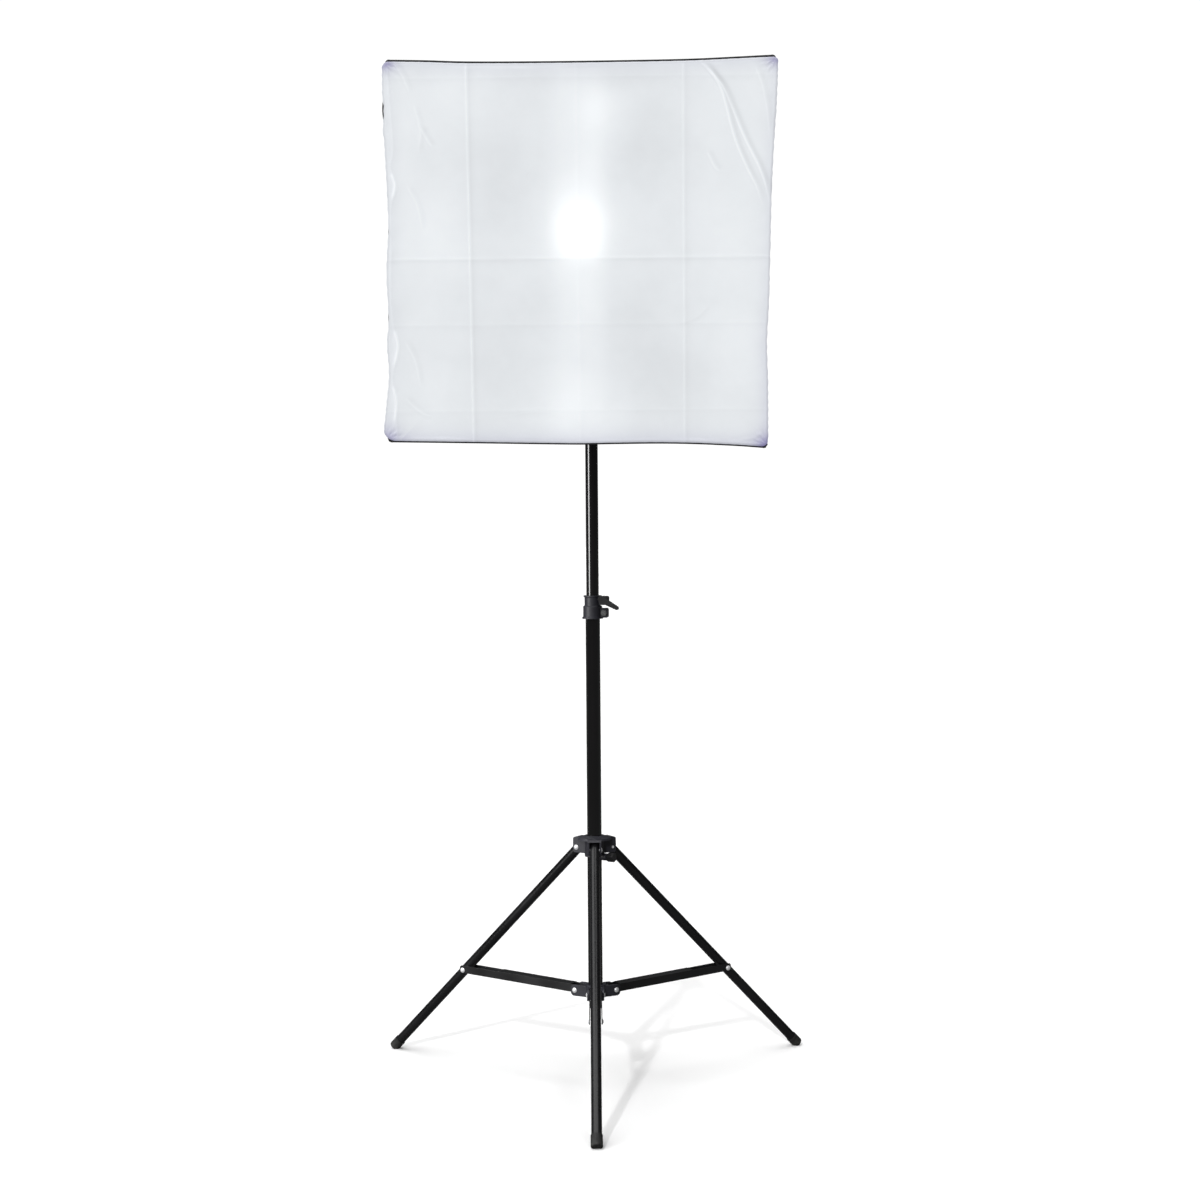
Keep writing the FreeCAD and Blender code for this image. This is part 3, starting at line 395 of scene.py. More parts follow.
def silver_lining():
    """The crinkled silver coating inside the shell."""
    s = Shader("silver_lining").set(metallic=0.9)
    crinkle = s.noise(60, 6, distortion=1.2)
    s.patchy(crinkle, (0.62, 0.63, 0.65), (0.80, 0.81, 0.82))
    s.roughness(s.spread(crinkle, 0.26, 0.44))
    return s.bump((weave(s, 0.0011), 0.2, 0.0002), (crinkle, 0.5, 0.0016)).material


def woven_binding():
    """Ribbed black tape."""
    s = Shader("woven_binding").set(ior_level=0.35, sheen=0.3, sheen_roughness=0.5)
    s.patchy(s.noise(80, 4), (0.008, 0.008, 0.009), (0.020, 0.020, 0.022))
    s.roughness(s.spread(s.noise(300), 0.62, 0.78))
    ribs = s.waves(s.uv(), 0.0012, "X")
    return s.bump((ribs, 0.45, 0.0004), (s.noise(1400, 3), 0.3, 0.0003)).material


def fuzzy_tape():
    """Hook-and-loop tape."""
    s = Shader("fuzzy_tape").set(ior_level=0.2, sheen=0.6, sheen_roughness=0.6)
    loops = s.node("ShaderNodeTexVoronoi")
    loops.inputs["Scale"].default_value = 900
    s.put(s.coordinates, loops.inputs["Vector"])
    s.patchy(s.noise(700, 5), (0.010, 0.010, 0.011), (0.035, 0.035, 0.037))
    s.roughness(s.spread(s.noise(300), 0.8, 0.95))
    return s.bump((loops.outputs["Distance"], 0.8, 0.0006)).material


def thread():
    s = Shader("thread").set(ior_level=0.4, sheen=0.2)
    return s.speckled(400, (0.020, 0.020, 0.022), (0.045, 0.045, 0.048),
                      (600, 0.45, 0.6), (2500, 0.3, 0.0002))


def spring_steel():
    s = Shader("spring_steel").set(metallic=0.7)
    return s.speckled(90, (0.05, 0.05, 0.055), (0.11, 0.11, 0.12),
                      (300, 0.30, 0.45), (1200, 0.1, 0.0002), detail=4)


def white_nylon():
    """The diffuser: white cloth whose glow, the lamp's light through it painted on as emission, is stored on its
    points.
    """
    s = Shader("white_nylon").set(ior_level=0.25, sheen=0.15)
    # The lamp's light through the cloth, painted on as emission.
    glow = s.node("ShaderNodeAttribute", attribute_name="glow").outputs["Color"]
    cloud = s.spread(s.noise(16, 5), 0.985, 1.015)
    lit = s.node("ShaderNodeVectorMath", operation="SCALE")
    s.put(glow, lit.inputs[0])
    s.put(cloud, lit.inputs["Scale"])
    s.put(lit.outputs[0], s.main.inputs["Emission Color"])
    s.set(emission=1.0)
    s.patchy(s.noise(30, 4), (0.30, 0.31, 0.325), (0.33, 0.34, 0.355))
    s.roughness(s.spread(s.noise(200), 0.62, 0.75))
    crush = s.noise(26, 5, distortion=0.5)
    return s.bump((weave(s, 0.0011), 0.12, 0.0002), (crush, 0.18, 0.0012)).material


# ---------------------------------------------------------------- mesh helpers
def in_scene(name, data):
    made = bpy.data.objects.new(name, data)
    bpy.context.scene.collection.objects.link(made)
    return made


def mesh_piece(name, vertices, faces, material, uvs=None):
    """A smooth piece that rides on the head."""
    mesh = bpy.data.meshes.new(name)
    mesh.from_pydata([tuple(v) for v in np.reshape(vertices, (-1, 3))], [], faces)
    mesh.validate()
    if uvs is not None:
        layer = mesh.uv_layers.new(name="cloth")
        picked = np.asarray(uvs)[[loop.vertex_index for loop in mesh.loops]]
        layer.data.foreach_set("uv", picked.astype(np.float32).ravel())
    mesh.polygons.foreach_set("use_smooth", [True] * len(mesh.polygons))
    mesh.materials.append(material)
    made = in_scene(name, mesh)
    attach(made, "head")
    return made


def grid_faces(rows, columns, closed=False):
    """Quads over a rows x columns grid of points; closed joins the last column to the first."""
    faces = []
    for i in range(rows - 1):
        for j in range(columns if closed else columns - 1):
            k = (j + 1) % columns
            faces.append((i * columns + j, i * columns + k, (i + 1) * columns + k, (i + 1) * columns + j))
    return faces


def solidify(piece, thickness, inner_material=None, offset=-1.0):
    modifier = piece.modifiers.new("thickness", "SOLIDIFY")
    modifier.thickness = thickness
    modifier.offset = offset
    modifier.use_even_offset = False
    if inner_material is not None:
        piece.data.materials.append(inner_material)
        modifier.material_offset = 1


def smooth_step(value, low, high):
    t = np.clip((value - low) / (high - low), 0, 1)
    return t * t * (3 - 2 * t)


def curve_through(points, value):
    """A smooth curve through (place, height) points."""
    places, heights = np.array(points, float).T
    t = np.interp(value, places, np.arange(len(places)))
    i = np.clip(t.astype(int), 0, len(places) - 2)
    f = t - i
    padded = np.concatenate([[2 * heights[0] - heights[1]], heights, [2 * heights[-1] - heights[-2]]])
    a, b, c, d = (padded[i + k] for k in range(4))
    return b + 0.5 * f * (c - a + f * (2 * a - 5 * b + 4 * c - d + f * (3 * (b - c) + d - a)))


def cloud(points, size, seed, octaves=3):
    """Smooth random heights, about -1 to 1, at world points."""
    shift = Vector((13.7 * seed, 5.1 * seed, 29.3 * seed))
    return np.array([noise.fractal(Vector(p) / size + shift, 1.0, 2.0, octaves) for p in points])


def flat_grid(along, across):
    """Places on the flat cloth for a grid of points, from lengths along and across it."""
    return np.stack(np.broadcast_arrays(along[:, None], across[None, :]), axis=-1).reshape(-1, 2)


# ---------------------------------------------------------------- the shell
SIDE_SAG = 13 * MM              # how far a panel pulls in between its rods
SHELL_THICKNESS = 0.7 * MM
ROD_CLEARANCE = 3.4 * MM        # from a rod's middle to the cloth's planes on either side
MOUTH_LIFT = -0.3 * MM          # the shell's outside at the mouth, from the nominal outline
EDGE_ROUNDING = 5 * MM          # radius of the four long edges where they turn over the rods
APEX = 1 - cos(pi / 4)

# How far each side of the mouth pulls in, in millimetres: top and bottom from left to right, the
# sides from the top down
PULLED_IN = {
    "top": [(0, -0.6), (0.1, 0.6), (0.19, 2.5), (0.29, 3.3), (0.47, 3.7), (0.70, 3.3), (0.80, 2.6),
            (0.91, 0.7), (1, -1.0)],
    "bottom": [(0, 0), (0.25, 0), (0.5, 0), (0.6, 1.4), (0.72, 2.8), (0.82, 2.6), (0.93, 0.8), (1, -1.4)],
    "left": [(0, 0.8), (0.07, 0.3), (0.11, -3.0), (0.14, -2.8), (0.2, 1.6), (0.35, 3.6), (0.55, 2.4),
             (0.72, 2.4), (0.83, 3.6), (0.94, 0.4), (1, 0.5)],
    "right": [(0, 0.6), (0.11, 0.5), (0.2, 1.6), (0.32, 3.2), (0.5, 3.3), (0.73, 4.7), (0.83, 2.6),
              (0.97, 1.4), (1, 1.0)],
}
MOUTH_BLEND = 22 * MM           # behind the mouth, where the corners go over from the rods to the outline
STITCH_IN = 4.7 * MM            # from a long edge to its row of stitches


def unit(vectors):
    return vectors / np.maximum(np.linalg.norm(vectors, axis=-1, keepdims=True), 1e-12)


def track(corner, f):
    """Where the shell's corner edge would meet if it were sharp, at a distance forward."""
    blend = smooth_step(f, SHELL_MOUTH - MOUTH_BLEND, SHELL_MOUTH)
    places = []
    for curve, sign, mouth in zip(TRACKS[corner], CORNER_SIGNS[corner], MOUTH[corner]):
        over_rod = np.polyval(curve, np.minimum(f, SHELL_MOUTH)) + sign * ROD_CLEARANCE
        places.append(over_rod * (1 - blend) + (mouth + sign * MOUTH_LIFT) * blend)
    return places


def panel_ends(name):
    first = PANELS.index(name)
    return CORNER_NAMES[first], CORNER_NAMES[(first + 1) % 4]


def panel_outward(name):
    """Unit direction (x, h) away from the lamp axis, square to the panel's middle."""
    return {"top": (0, 1), "left": (-1, 0), "bottom": (0, -1), "right": (1, 0)}[name]


def pulled_in(name, u):
    """The mouth's inward wave at u, which runs from the panel's first corner to its next."""
    from_left_or_top = u if name in ("left", "bottom") else 1 - u
    return curve_through(PULLED_IN[name], from_left_or_top) * MM


def panel_shape(name, u, f, lift=0.0):
    """Points of a panel: u runs from its first corner to the next, f forward; lift moves them outward."""
    u, f = np.broadcast_arrays(np.asarray(u, float), np.asarray(f, float))
    (x0, h0), (x1, h1) = (track(corner, f) for corner in panel_ends(name))
    share = np.clip((f - SHELL_REAR) / (SHELL_MOUTH - SHELL_REAR), 0, 1)
    width = np.hypot(x1 - x0, h1 - h0)
    rounding = EDGE_ROUNDING * np.clip(width / 0.2, 0.5, 1)
    near_first = np.clip(1 - u * width / rounding, 0, 1)
    near_next = np.clip(1 - (1 - u) * width / rounding, 0, 1)
    turned = APEX * rounding * (near_first ** 2 + near_next ** 2)
    slid = APEX * rounding * (near_first - near_next) / width
    sag = SIDE_SAG * np.sin(pi * share) ** 0.8 * (4 * u * (1 - u)) ** 0.9
    inward = sag + turned + pulled_in(name, u) * share ** 6
    out_x, out_h = panel_outward(name)
    x = x0 + (x1 - x0) * (u + slid) - out_x * inward
    h = h0 + (h1 - h0) * (u + slid) - out_h * inward
    surface = at(x, f, h)
    if lift:
        surface = surface + panel_normals(name, u, f) * lift
    return surface


def panel_width(name, f, margin=0.0):
    return np.linalg.norm(panel_shape(name, margin, f) - panel_shape(name, 1 - margin, f), axis=-1)


def panels_at(corner):
    """The panel that ends at a corner, and the one that starts there."""
    index = CORNER_NAMES.index(corner)
    return PANELS[index - 1], PANELS[index]


def corner_outward(corner):
    """The direction away from the lamp axis at a corner."""
    right, upward = CORNER_SIGNS[corner]
    return RIGHT * right + UP * upward


def panel_normals(name, u, f):
    step = 0.5 * MM
    u = np.clip(u, 0.002, 0.998)
    along = panel_shape(name, u, f + step) - panel_shape(name, u, f - step)
    across = panel_shape(name, u + 0.002, f) - panel_shape(name, u - 0.002, f)
    normal = unit(np.cross(along, across))
    out_x, out_h = panel_outward(name)
    outward = RIGHT * out_x + UP * out_h
    normal = normal * np.sign((normal * outward).sum(-1, keepdims=True))
    own_first, own_next = (corner_outward(corner) for corner in panel_ends(name))
    first = (u <= 0.002)[..., None]
    last = (u >= 0.998)[..., None]
    return np.where(first, unit(own_first), np.where(last, unit(own_next), normal))


def crease(distance, width):
    """The ridge that a sharp old fold leaves in cloth."""
    return np.exp(-np.abs(distance) / width)


def panel_wrinkles(name, u, f, points):
    """Heights that tension, storage folds and the stitched edges give a panel."""
    share = (f - SHELL_REAR) / (SHELL_MOUTH - SHELL_REAR)
    inner = smooth_step(np.minimum(u, 1 - u), 0.0, 0.06) * smooth_step(1 - share, 0.0, 0.05)
    inner *= smooth_step(share, 0.0, 0.06)
    seed = PANELS.index(name) + 1
    slow = cloud(points, 0.16, seed, 2) * 2.2 * MM
    quick = cloud(points, 0.035, seed + 7, 3) * 0.45 * MM
    folds = 1.1 * MM * (crease(u - 0.5, 0.012) - 0.8 * crease(u - 0.27, 0.010)
                        - 0.8 * crease(u - 0.74, 0.010))
    folds += 0.9 * MM * (crease(share - 0.52, 0.010) - 0.7 * crease(share - 0.78, 0.009))
    pull = np.zeros_like(u)
    for corner_u in (0, 1):
        away = np.hypot((u - corner_u) * 0.5, (1 - share) * 0.42)
        angle = np.arctan2((1 - share) * 0.42, np.abs(u - corner_u) * 0.5 + 1e-6)
        fade = np.exp(-away / 0.055) * smooth_step(away, 0.004, 0.03)
        pull += 1.3 * MM * np.sin(angle * 17 + seed) * fade
    ripple = 0.8 * MM * np.sin(share * 46 + 3 * np.sin(u * 9) + seed)
    ripple *= np.exp(-np.minimum(u, 1 - u) / 0.035)
    deepest = -0.1 * MM - 6 * MM * smooth_step(SHELL_MOUTH - f, 27 * MM, 60 * MM)   # taut over the tape
    return np.maximum((slow + quick + folds + pull + ripple) * inner, deepest)


def shell_panel(name, cloth, lining):
    """One cloth side: black outside, silver inside."""
    rows, columns = 96, 100
    u, f = np.meshgrid(np.linspace(0, 1, columns), np.linspace(SHELL_REAR, SHELL_MOUTH, rows))
    base = panel_shape(name, u, f)
    heights = panel_wrinkles(name, u.ravel(), f.ravel(), base.reshape(-1, 3)).reshape(u.shape)
    points = base + panel_normals(name, u, f) * heights[..., None]
    (x0, h0), (x1, h1) = (track(corner, f) for corner in panel_ends(name))
    width = np.hypot(x1 - x0, h1 - h0)
    flat = np.stack([(u - 0.5) * width, f * 1.22], axis=-1).reshape(-1, 2)
    faces = outward_faces(points, panel_normals(name, u[:1, :1], f[:1, :1])[0, 0])
    piece = mesh_piece("shell_" + name, points, faces, cloth, uvs=flat)
    solidify(piece, SHELL_THICKNESS, inner_material=lining)
    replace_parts(piece, "panel_" + name)
    return piece


def outward_faces(points, outward, closed=False):
    """Faces over a grid of points, turned so that the first one faces outward."""
    faces = grid_faces(*points.shape[:2], closed)
    a, b, c = (Vector(p) for p in (points[0, 0], points[0, 1], points[1, 0]))
    if (b - a).cross(c - a).dot(Vector(outward)) < 0:
        faces = [face[::-1] for face in faces]
    return faces


def distances(points):
    """Running length along a row of points."""
    return np.concatenate([[0], np.cumsum(np.linalg.norm(np.diff(points, axis=0), axis=-1))])


# (distance across, lift) in mm, from the tape's edge in to the seam
SEAM_HALF = [(6.5, 0.25), (6.2, 0.75), (5.0, 0.95), (3.5, 0.95), (2.0, 0.95), (1.0, 0.95)]


def corner_seam(corner, material):
    """Bound tape folded over one of the long edges."""
    before, first = panels_at(corner)
    f = np.linspace(SHELL_REAR + 1 * MM, SHELL_MOUTH - 1 * MM, 150)
    width = panel_width(first, f)
    half = [(across * MM, lift * MM) for across, lift in SEAM_HALF]
    columns = [panel_shape(before, 1 - across / width, f, lift) for across, lift in half]
    columns.append(panel_shape(first, 0, f, 1.0 * MM))
    columns += [panel_shape(first, across / width, f, lift) for across, lift in half[::-1]]
    points = np.stack(columns, axis=1)
    steps = np.array(half)[:, 0]
    flat = flat_grid(distances(points[:, len(half)]), np.concatenate([-steps, [0], steps[::-1]]))
    faces = outward_faces(points, corner_outward(corner))
    piece = mesh_piece("seam_" + corner, points, faces, material, uvs=flat)
    solidify(piece, 0.5 * MM)
    return piece


def mouth_ring(offset, lift, steps=110):
    """A closed ring of points round the mouth, offset forward of its edge and lifted off the cloth."""
    ring = []
    for name in PANELS:
        u = np.linspace(0, 1, steps, endpoint=False)
        bunched = u - 0.010 * np.sin(tau * u)       # closer together towards the corners
        ring.append(panel_shape(name, bunched, SHELL_MOUTH + offset, lift))
    return np.concatenate(ring)


def ring_piece(name, profile, material):
    """A closed tube round the mouth, from (forward, lift) points of its outline in millimetres."""
    points = np.stack([mouth_ring(forward * MM, lift * MM) for forward, lift in profile], axis=1)
    rows, columns = points.shape[:2]
    along = distances(points[:, 0])
    across = np.concatenate([[0], np.cumsum(np.hypot(*np.diff(np.array(profile), axis=0).T))]) * MM
    flat = flat_grid(along, across)
    faces = grid_faces(rows, columns, closed=True)
    last = (rows - 1) * columns
    faces += [(last + j, last + (j + 1) % columns, (j + 1) % columns, j) for j in range(columns)]
    piece = mesh_piece(name, points, faces, material, uvs=flat)
    outward_normals(piece)
    return piece


def outward_normals(piece):
    """Turns a closed mesh's faces outward."""
    shape = bmesh.new()
    shape.from_mesh(piece.data)
    bmesh.ops.recalc_face_normals(shape, faces=shape.faces)
    shape.to_mesh(piece.data)
    shape.free()


# (forward, lift) in mm, from the mouth and from the cloth's outside
BINDING_PROFILE = [(-8.0, 0.15), (-8.0, 0.8), (-7.2, 1.15), (-4, 1.2), (-0.5, 1.2), (1.0, 0.9),
                   (1.6, 0.1), (1.7, -0.8), (1.2, -1.6), (0, -1.9), (-5.5, -1.9), (-6.0, -1.5),
                   (-6.0, -0.85), (-1, -0.85), (-1, 0.15)]
LOOP_TAPE_PROFILE = [(-25, -0.9), (-25, -1.9), (-24.5, -2.2), (-8.5, -2.2), (-8, -1.9), (-8, -0.9)]


def stitches(name, rows_of_points, normals, material, length=2.1 * MM, gap=1.3 * MM, radius=0.24 * MM):
    """Short raised threads end to end along each row of points."""
    vertices, faces = [], []
    for line, out in zip(rows_of_points, normals):
        along = distances(line)
        for start in np.arange(gap, along[-1] - length, length + gap):
            places = start + length * np.array([0, 0.25, 0.75, 1])
            spine = np.stack([np.interp(places, along, line[:, k]) for k in range(3)], axis=1)
            up = unit(np.array([np.interp(start, along, out[:, k]) for k in range(3)]))
            side = unit(np.cross(spine[-1] - spine[0], up))
            first = len(vertices)
            for place, size, rise in zip(spine, (0.4, 1, 1, 0.4), (-0.2, 0.35, 0.35, -0.2)):
                for turn in range(5):
                    angle = tau * turn / 5
                    ring = side * cos(angle) + up * (sin(angle) + rise)
                    vertices.append(place + ring * radius * size)
            faces += [tuple(first + k for k in face) for face in STITCH_FACES]
    piece = mesh_piece(name, vertices, faces, material)
    return piece


STITCH_FACES = [(5 * i + j, 5 * i + (j + 1) % 5, 5 * i + 5 + (j + 1) % 5, 5 * i + 5 + j)
                for i in range(3) for j in range(5)] + [(4, 3, 2, 1, 0), (15, 16, 17, 18, 19)]


def shell_stitches(material):
    """Rows beside each long seam and behind the bound mouth."""
    rows, normals = [], []
    for name in PANELS:
        f = np.linspace(SHELL_REAR + 3 * MM, SHELL_MOUTH - 10 * MM, 240)
        share = STITCH_IN / panel_width(name, f)
        for u in (share, 1 - share):
            rows.append(panel_shape(name, u, f, 1.1 * MM))
            normals.append(panel_normals(name, u, f))
        u = np.linspace(0.02, 0.98, 300)
        level = np.full_like(u, SHELL_MOUTH - 5.5 * MM)
        rows.append(panel_shape(name, u, level, 1.3 * MM))
        normals.append(panel_normals(name, u, level))
    return stitches("shell_stitching", rows, normals, material)


def corner_pocket(corner, material):
    """The cloth pocket inside a mouth corner that holds a rod's tip."""
    before, first = panels_at(corner)
    f = np.linspace(SHELL_MOUTH - 30 * MM, SHELL_MOUTH - 2.2 * MM, 14)
    width = panel_width(first, f, margin=0.02)
    reach = np.linspace(24, 9, 8) * MM
    lift = -2.6 * MM
    side_a = [panel_shape(before, 1 - d / width, f, lift) for d in reach]
    side_b = [panel_shape(first, d / width, f, lift) for d in reach[::-1]]
    points = np.stack(side_a + side_b, axis=1)
    faces = outward_faces(points, -corner_outward(corner))
    flat = flat_grid(f, np.linspace(0, 0.03, 2 * len(reach)))
    piece = mesh_piece("pocket_" + corner, points, faces, material, uvs=flat)
    solidify(piece, 0.7 * MM, offset=0)
    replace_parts(piece, "corner_pockets")
    return piece


# ---------------------------------------------------------------- the gathered rear
SLEEVE_PLEATS = 34
# Share of the square outline, then in mm: radius of the round part, distance forward, pleat height
SLEEVE_STATIONS = [(1.0, 0, 73, 0.0), (1.0, 0, 66, 0.1), (0.985, 0, 52, 0.35), (0.94, 0, 40, 0.5),
                   (0.80, 41, 32, 0.8), (0.35, 40, 26.5, 1.1), (0.0, 35.5, 23.2, 1.3),
                   (0.0, 32.0, 21.6, 1.0), (0.0, 30.0, 19.5, 0.45), (0.0, 29.3, 15, 0.22),
                   (0.0, 29.3, 9, 0.22), (0.0, 30.6, 5.5, 0.8), (0.0, 32.4, 2.6, 1.6)]
# Over the tilt knob the hem is cut shorter and lies flat, all in mm:
HEM_START = 20          # ahead of the tilt pivot, where that starts
HEM_LIFT = 7.5          # by which it is shorter
HEM_RADIUS = 29.5


def rear_sleeve(cloth, lining):
    """The shell's rear end, gathered in pleats round the lamp holder."""
    around = 360
    theta = np.linspace(0, tau, around, endpoint=False) + pi / 4
    outline = rear_outline()
    angles = np.unwrap(np.arctan2(outline[:, 1], outline[:, 0]))
    square = np.stack([np.interp(theta, angles, places, period=tau) for places in outline.T], axis=1)
    stations = np.array(SLEEVE_STATIONS)
    fine = np.linspace(0, len(stations) - 1, 100)
    share, radius, forward, pleat = (curve_through(list(enumerate(column)), fine) for column in stations.T)
    share = np.clip(share, 0, 1)
    angle_noise = cloud(np.stack([np.cos(theta), np.sin(theta), 0 * theta], 1), 0.35, 5)
    wave = np.sin(SLEEVE_PLEATS * theta + 2.2 * angle_noise) + 0.35 * np.sin(2.7 * SLEEVE_PLEATS * theta)
    circle = np.stack([np.cos(theta), np.sin(theta)], axis=1)
    over_knob = smooth_step(-np.sin(theta), 0.5, 0.8)[None, :]      # the hem is short and flat there
    hem = np.clip((HEM_START - forward) / (HEM_START - forward[-1]), 0, 1)[:, None] * over_knob
    flare = np.clip(radius - HEM_RADIUS, 0, None)[:, None] * hem * (forward < 10)[:, None]
    radii = (radius[:, None] - flare) * MM * (1 - share)[:, None]
    depth = forward[:, None] + HEM_LIFT * hem
    pleats = pleat[:, None] * (1 - 0.8 * hem)
    ring = square[None] * share[:, None, None] + circle[None] * radii[..., None]
    ring = ring + circle[None] * (pleats * MM * wave[None, :])[..., None]
    shift = 0.6 * MM * angle_noise[None, :] * pleats
    points = at(ring[..., 0], depth * MM + shift, ring[..., 1])
    faces = outward_faces(points, points[0, 0] - at(0.0, 0.07, 0.0), closed=True)
    flat = flat_grid(forward * MM, theta * 0.05)[:, ::-1]
    piece = mesh_piece("rear_gather", points, faces, cloth, uvs=flat)
    solidify(piece, SHELL_THICKNESS, inner_material=lining)
    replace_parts(piece, "rear_sleeve")
    return piece


def rear_outline():
    """(x, h) points round the shell's rear edge, from the top right corner on."""
    rows = []
    for name in PANELS:
        u = np.linspace(0, 1, 24, endpoint=False)
        points = to_head(panel_shape(name, u, SHELL_REAR, -0.9 * MM))
        rows.append(points[:, [0, 2]] - [0, AXIS_HEIGHT])
    return np.concatenate(rows)


def gather_strap(material):
    """The hook-and-loop strap that draws the gathers onto the holder, its free end lapped over."""
    turns = 1.12
    theta = np.linspace(0, tau * turns, 200) + radians(200)
    radius = 30.1 * MM + 1.3 * MM * smooth_step(np.linspace(0, turns, 200), 0.93, 1.04)
    profile = [(-6.0, 0.2), (-5.8, 1.1), (-5, 1.3), (5, 1.3), (5.8, 1.1), (6.0, 0.2), (5.8, 0), (-5.8, 0)]
    lines = []
    for side, out in profile:
        reach = radius + out * MM
        lines.append(at(reach * np.cos(theta), (12 + side) * MM, reach * np.sin(theta)))
    points = np.stack(lines, axis=1)
    rows, columns = points.shape[:2]
    faces = grid_faces(rows, columns, closed=True)
    faces += [tuple(range(columns)), tuple(rows * columns - 1 - j for j in range(columns))]
    flat = flat_grid(theta * 0.031, np.linspace(0, 0.014, columns))
    piece = mesh_piece("gather_strap", points, faces, material, uvs=flat)
    outward_normals(piece)
    return piece


# ---------------------------------------------------------------- the diffuser
ROLL = 3.2 * MM                 # how far its edge bulges out as it turns round
ROLL_DEPTH = 1.7 * MM           # half the bulge's depth: it stays ahead of the bound mouth
TUCK = 5.5 * MM                 # how far the turned edge then comes in, to pass inside the mouth
SKIRT = 8 * MM                  # how far it runs back there, along the fastening tape
SKIRT_SLOPE = radians(30)
FACE_STEPS = 380

# Where the white edge lies, in millimetres in from the nominal outline: along each side, as for
# PULLED_IN
WHITE_EDGE = {
    "top": [(0, 1.2), (0.1, 2.4), (0.19, 4.3), (0.29, 5.1), (0.47, 5.5), (0.70, 5.1), (0.80, 4.4),
            (0.91, 2.5), (1, 1.0)],
    "bottom": [(0, 1.8), (0.25, 1.8), (0.5, 1.8), (0.6, 3.2), (0.72, 4.6), (0.82, 4.4), (0.93, 2.6),
               (1, 0.4)],
    "left": [(0, -3.4), (0.02, -3.6), (0.08, -3.6), (0.11, -1.8), (0.14, -2.0), (0.17, -3.0),
             (0.2, -1.3), (0.35, 1.8), (0.44, 3.2), (0.50, 1.0), (0.56, 0.2), (0.68, 2.4),
             (0.74, 0.2), (0.83, 2.2), (0.94, -2.9), (0.985, -5.0), (1, -4.6)],
    "right": [(0, -2.8), (0.11, -2.0), (0.2, 0), (0.32, 1.7), (0.5, 2.0), (0.62, 2.2), (0.73, 3.7),
              (0.83, 1.2), (0.97, -0.4), (1, -0.4)],
}
CORNER_RADIUS = {"top_right": 3 * MM, "top_left": 5 * MM, "bottom_left": 12 * MM, "bottom_right": 5 * MM}

# Wrinkles as (points, height, half width, gain): points x right and h up from the lamp axis, in mm,
# as are height and half width; the gain is the painted highlight along the ridge, with painted shade beside it
WRINKLES = [
    ([(152, 251), (172, 230), (184, 212), (191, 190), (198, 163), (206, 138), (219, 108), (232, 82),
      (244, 42)], 0.9, 2.0, 0.17),
    ([(160, 246), (177, 226), (189, 210), (200, 184), (217, 144), (235, 108), (245, 78), (250, 44)],
     1.0, 2.1, 0.18),
    ([(228, 240), (238, 214), (245, 178), (248, 140)], 0.5, 3.0, 0.07),
    ([(166, 132), (176, 112), (184, 104)], 0.5, 2.5, 0.09),
    ([(-206, 166), (-198, 150), (-190, 138)], 0.5, 2.2, 0.09),
    ([(-214, 196), (-206, 160), (-210, 130)], 0.4, 2.6, 0.06),
    ([(-226, 92), (-212, 64), (-206, 30)], 0.5, 3.5, 0.05),
    ([(-240, 250), (-226, 228), (-218, 206)], 0.7, 3.0, 0.07),
    ([(-234, -110), (-220, -140), (-214, -176)], 0.5, 4.0, 0.06),
    ([(-236, -186), (-214, -206), (-196, -212)], 0.5, 4.0, 0.06),
    ([(240, -236), (228, -243), (206, -247)], 0.5, 2.5, 0.05),
    ([(170, -66), (150, -84), (124, -92)], 0.4, 3.0, 0.05),
    ([(-120, -214), (-60, -206), (-10, -212)], 0.3, 5.0, 0.03),
]
# The crease where the cloth starts to turn back along the left side, and the loose folds outside it
LEFT_CREASE = [(-246, 250), (-245, 212), (-241, 139), (-246, 116), (-240, 92), (-247, 60), (-248, 0),
               (-250, -60), (-247, -94), (-244, -124), (-251, -160), (-248, -200), (-246, -235)]
LEFT_FOLDS = [([(-246, 108), (-241, 90), (-246, 70)], 0.9),
              ([(-247, -96), (-243, -120), (-250, -150)], 1.0),
              ([(-251, -168), (-247, -196), (-252, -226)], 0.9),
              ([(-252, 70), (-249, 48), (-252, 20)], 0.5)]
# Storage folds as (place, height, half width, gain), the first three as for the wrinkles; the gain is a painted
# highlight along the fold, with painted shade to one side
CREASES_ACROSS = [(-4, 0.5, 1.6, 0.09), (-90, 0.22, 1.6, 0.04), (-204, 0.18, 1.6, 0.03),
                  (228, 0.18, 2.0, 0.025)]
CREASES_UP = [(-145, 0.6, 1.3, 0.18), (136, 0.5, 1.3, 0.12), (-3, 0.25, 1.3, 0.045)]
# Painted lighter and darker patches of the light through the cloth: x, h, half width, half height in mm, and gain
GLOW_PATCHES = [
    (-2, 66, 34, 52, 0.10), (26, 182, 38, 36, 0.12), (12, 120, 24, 60, 0.04), (-12, -196, 48, 44, 0.10),
    (0, -60, 30, 60, 0.05), (-8, 20, 90, 60, 0.035), (79, 140, 42, 60, -0.06), (-103, 95, 45, 70, -0.06),
    (80, -110, 42, 80, -0.05), (120, -170, 50, 60, -0.05), (-110, -140, 50, 70, -0.05),
    (-185, 30, 40, 60, 0.075), (-160, 200, 60, 44, 0.055), (195, 20, 45, 60, 0.055),
    (-190, -190, 34, 44, 0.03), (60, 226, 70, 14, -0.035), (-60, 226, 60, 12, -0.03),
    (200, -120, 36, 60, 0.05), (178, 170, 22, 70, 0.03), (-200, -60, 30, 50, 0.025),
    (225, 190, 20, 60, 0.03), (-60, -60, 40, 40, -0.02), (50, -215, 20, 40, 0.03),
    (-226, 110, 12, 110, 0.03),
]
PATCH_GAIN = 1.35
EDGE_LOSS = (0.40, 0.42, 0.28)      # painted shade where the cloth is gathered over the dark rim: a lilac cast
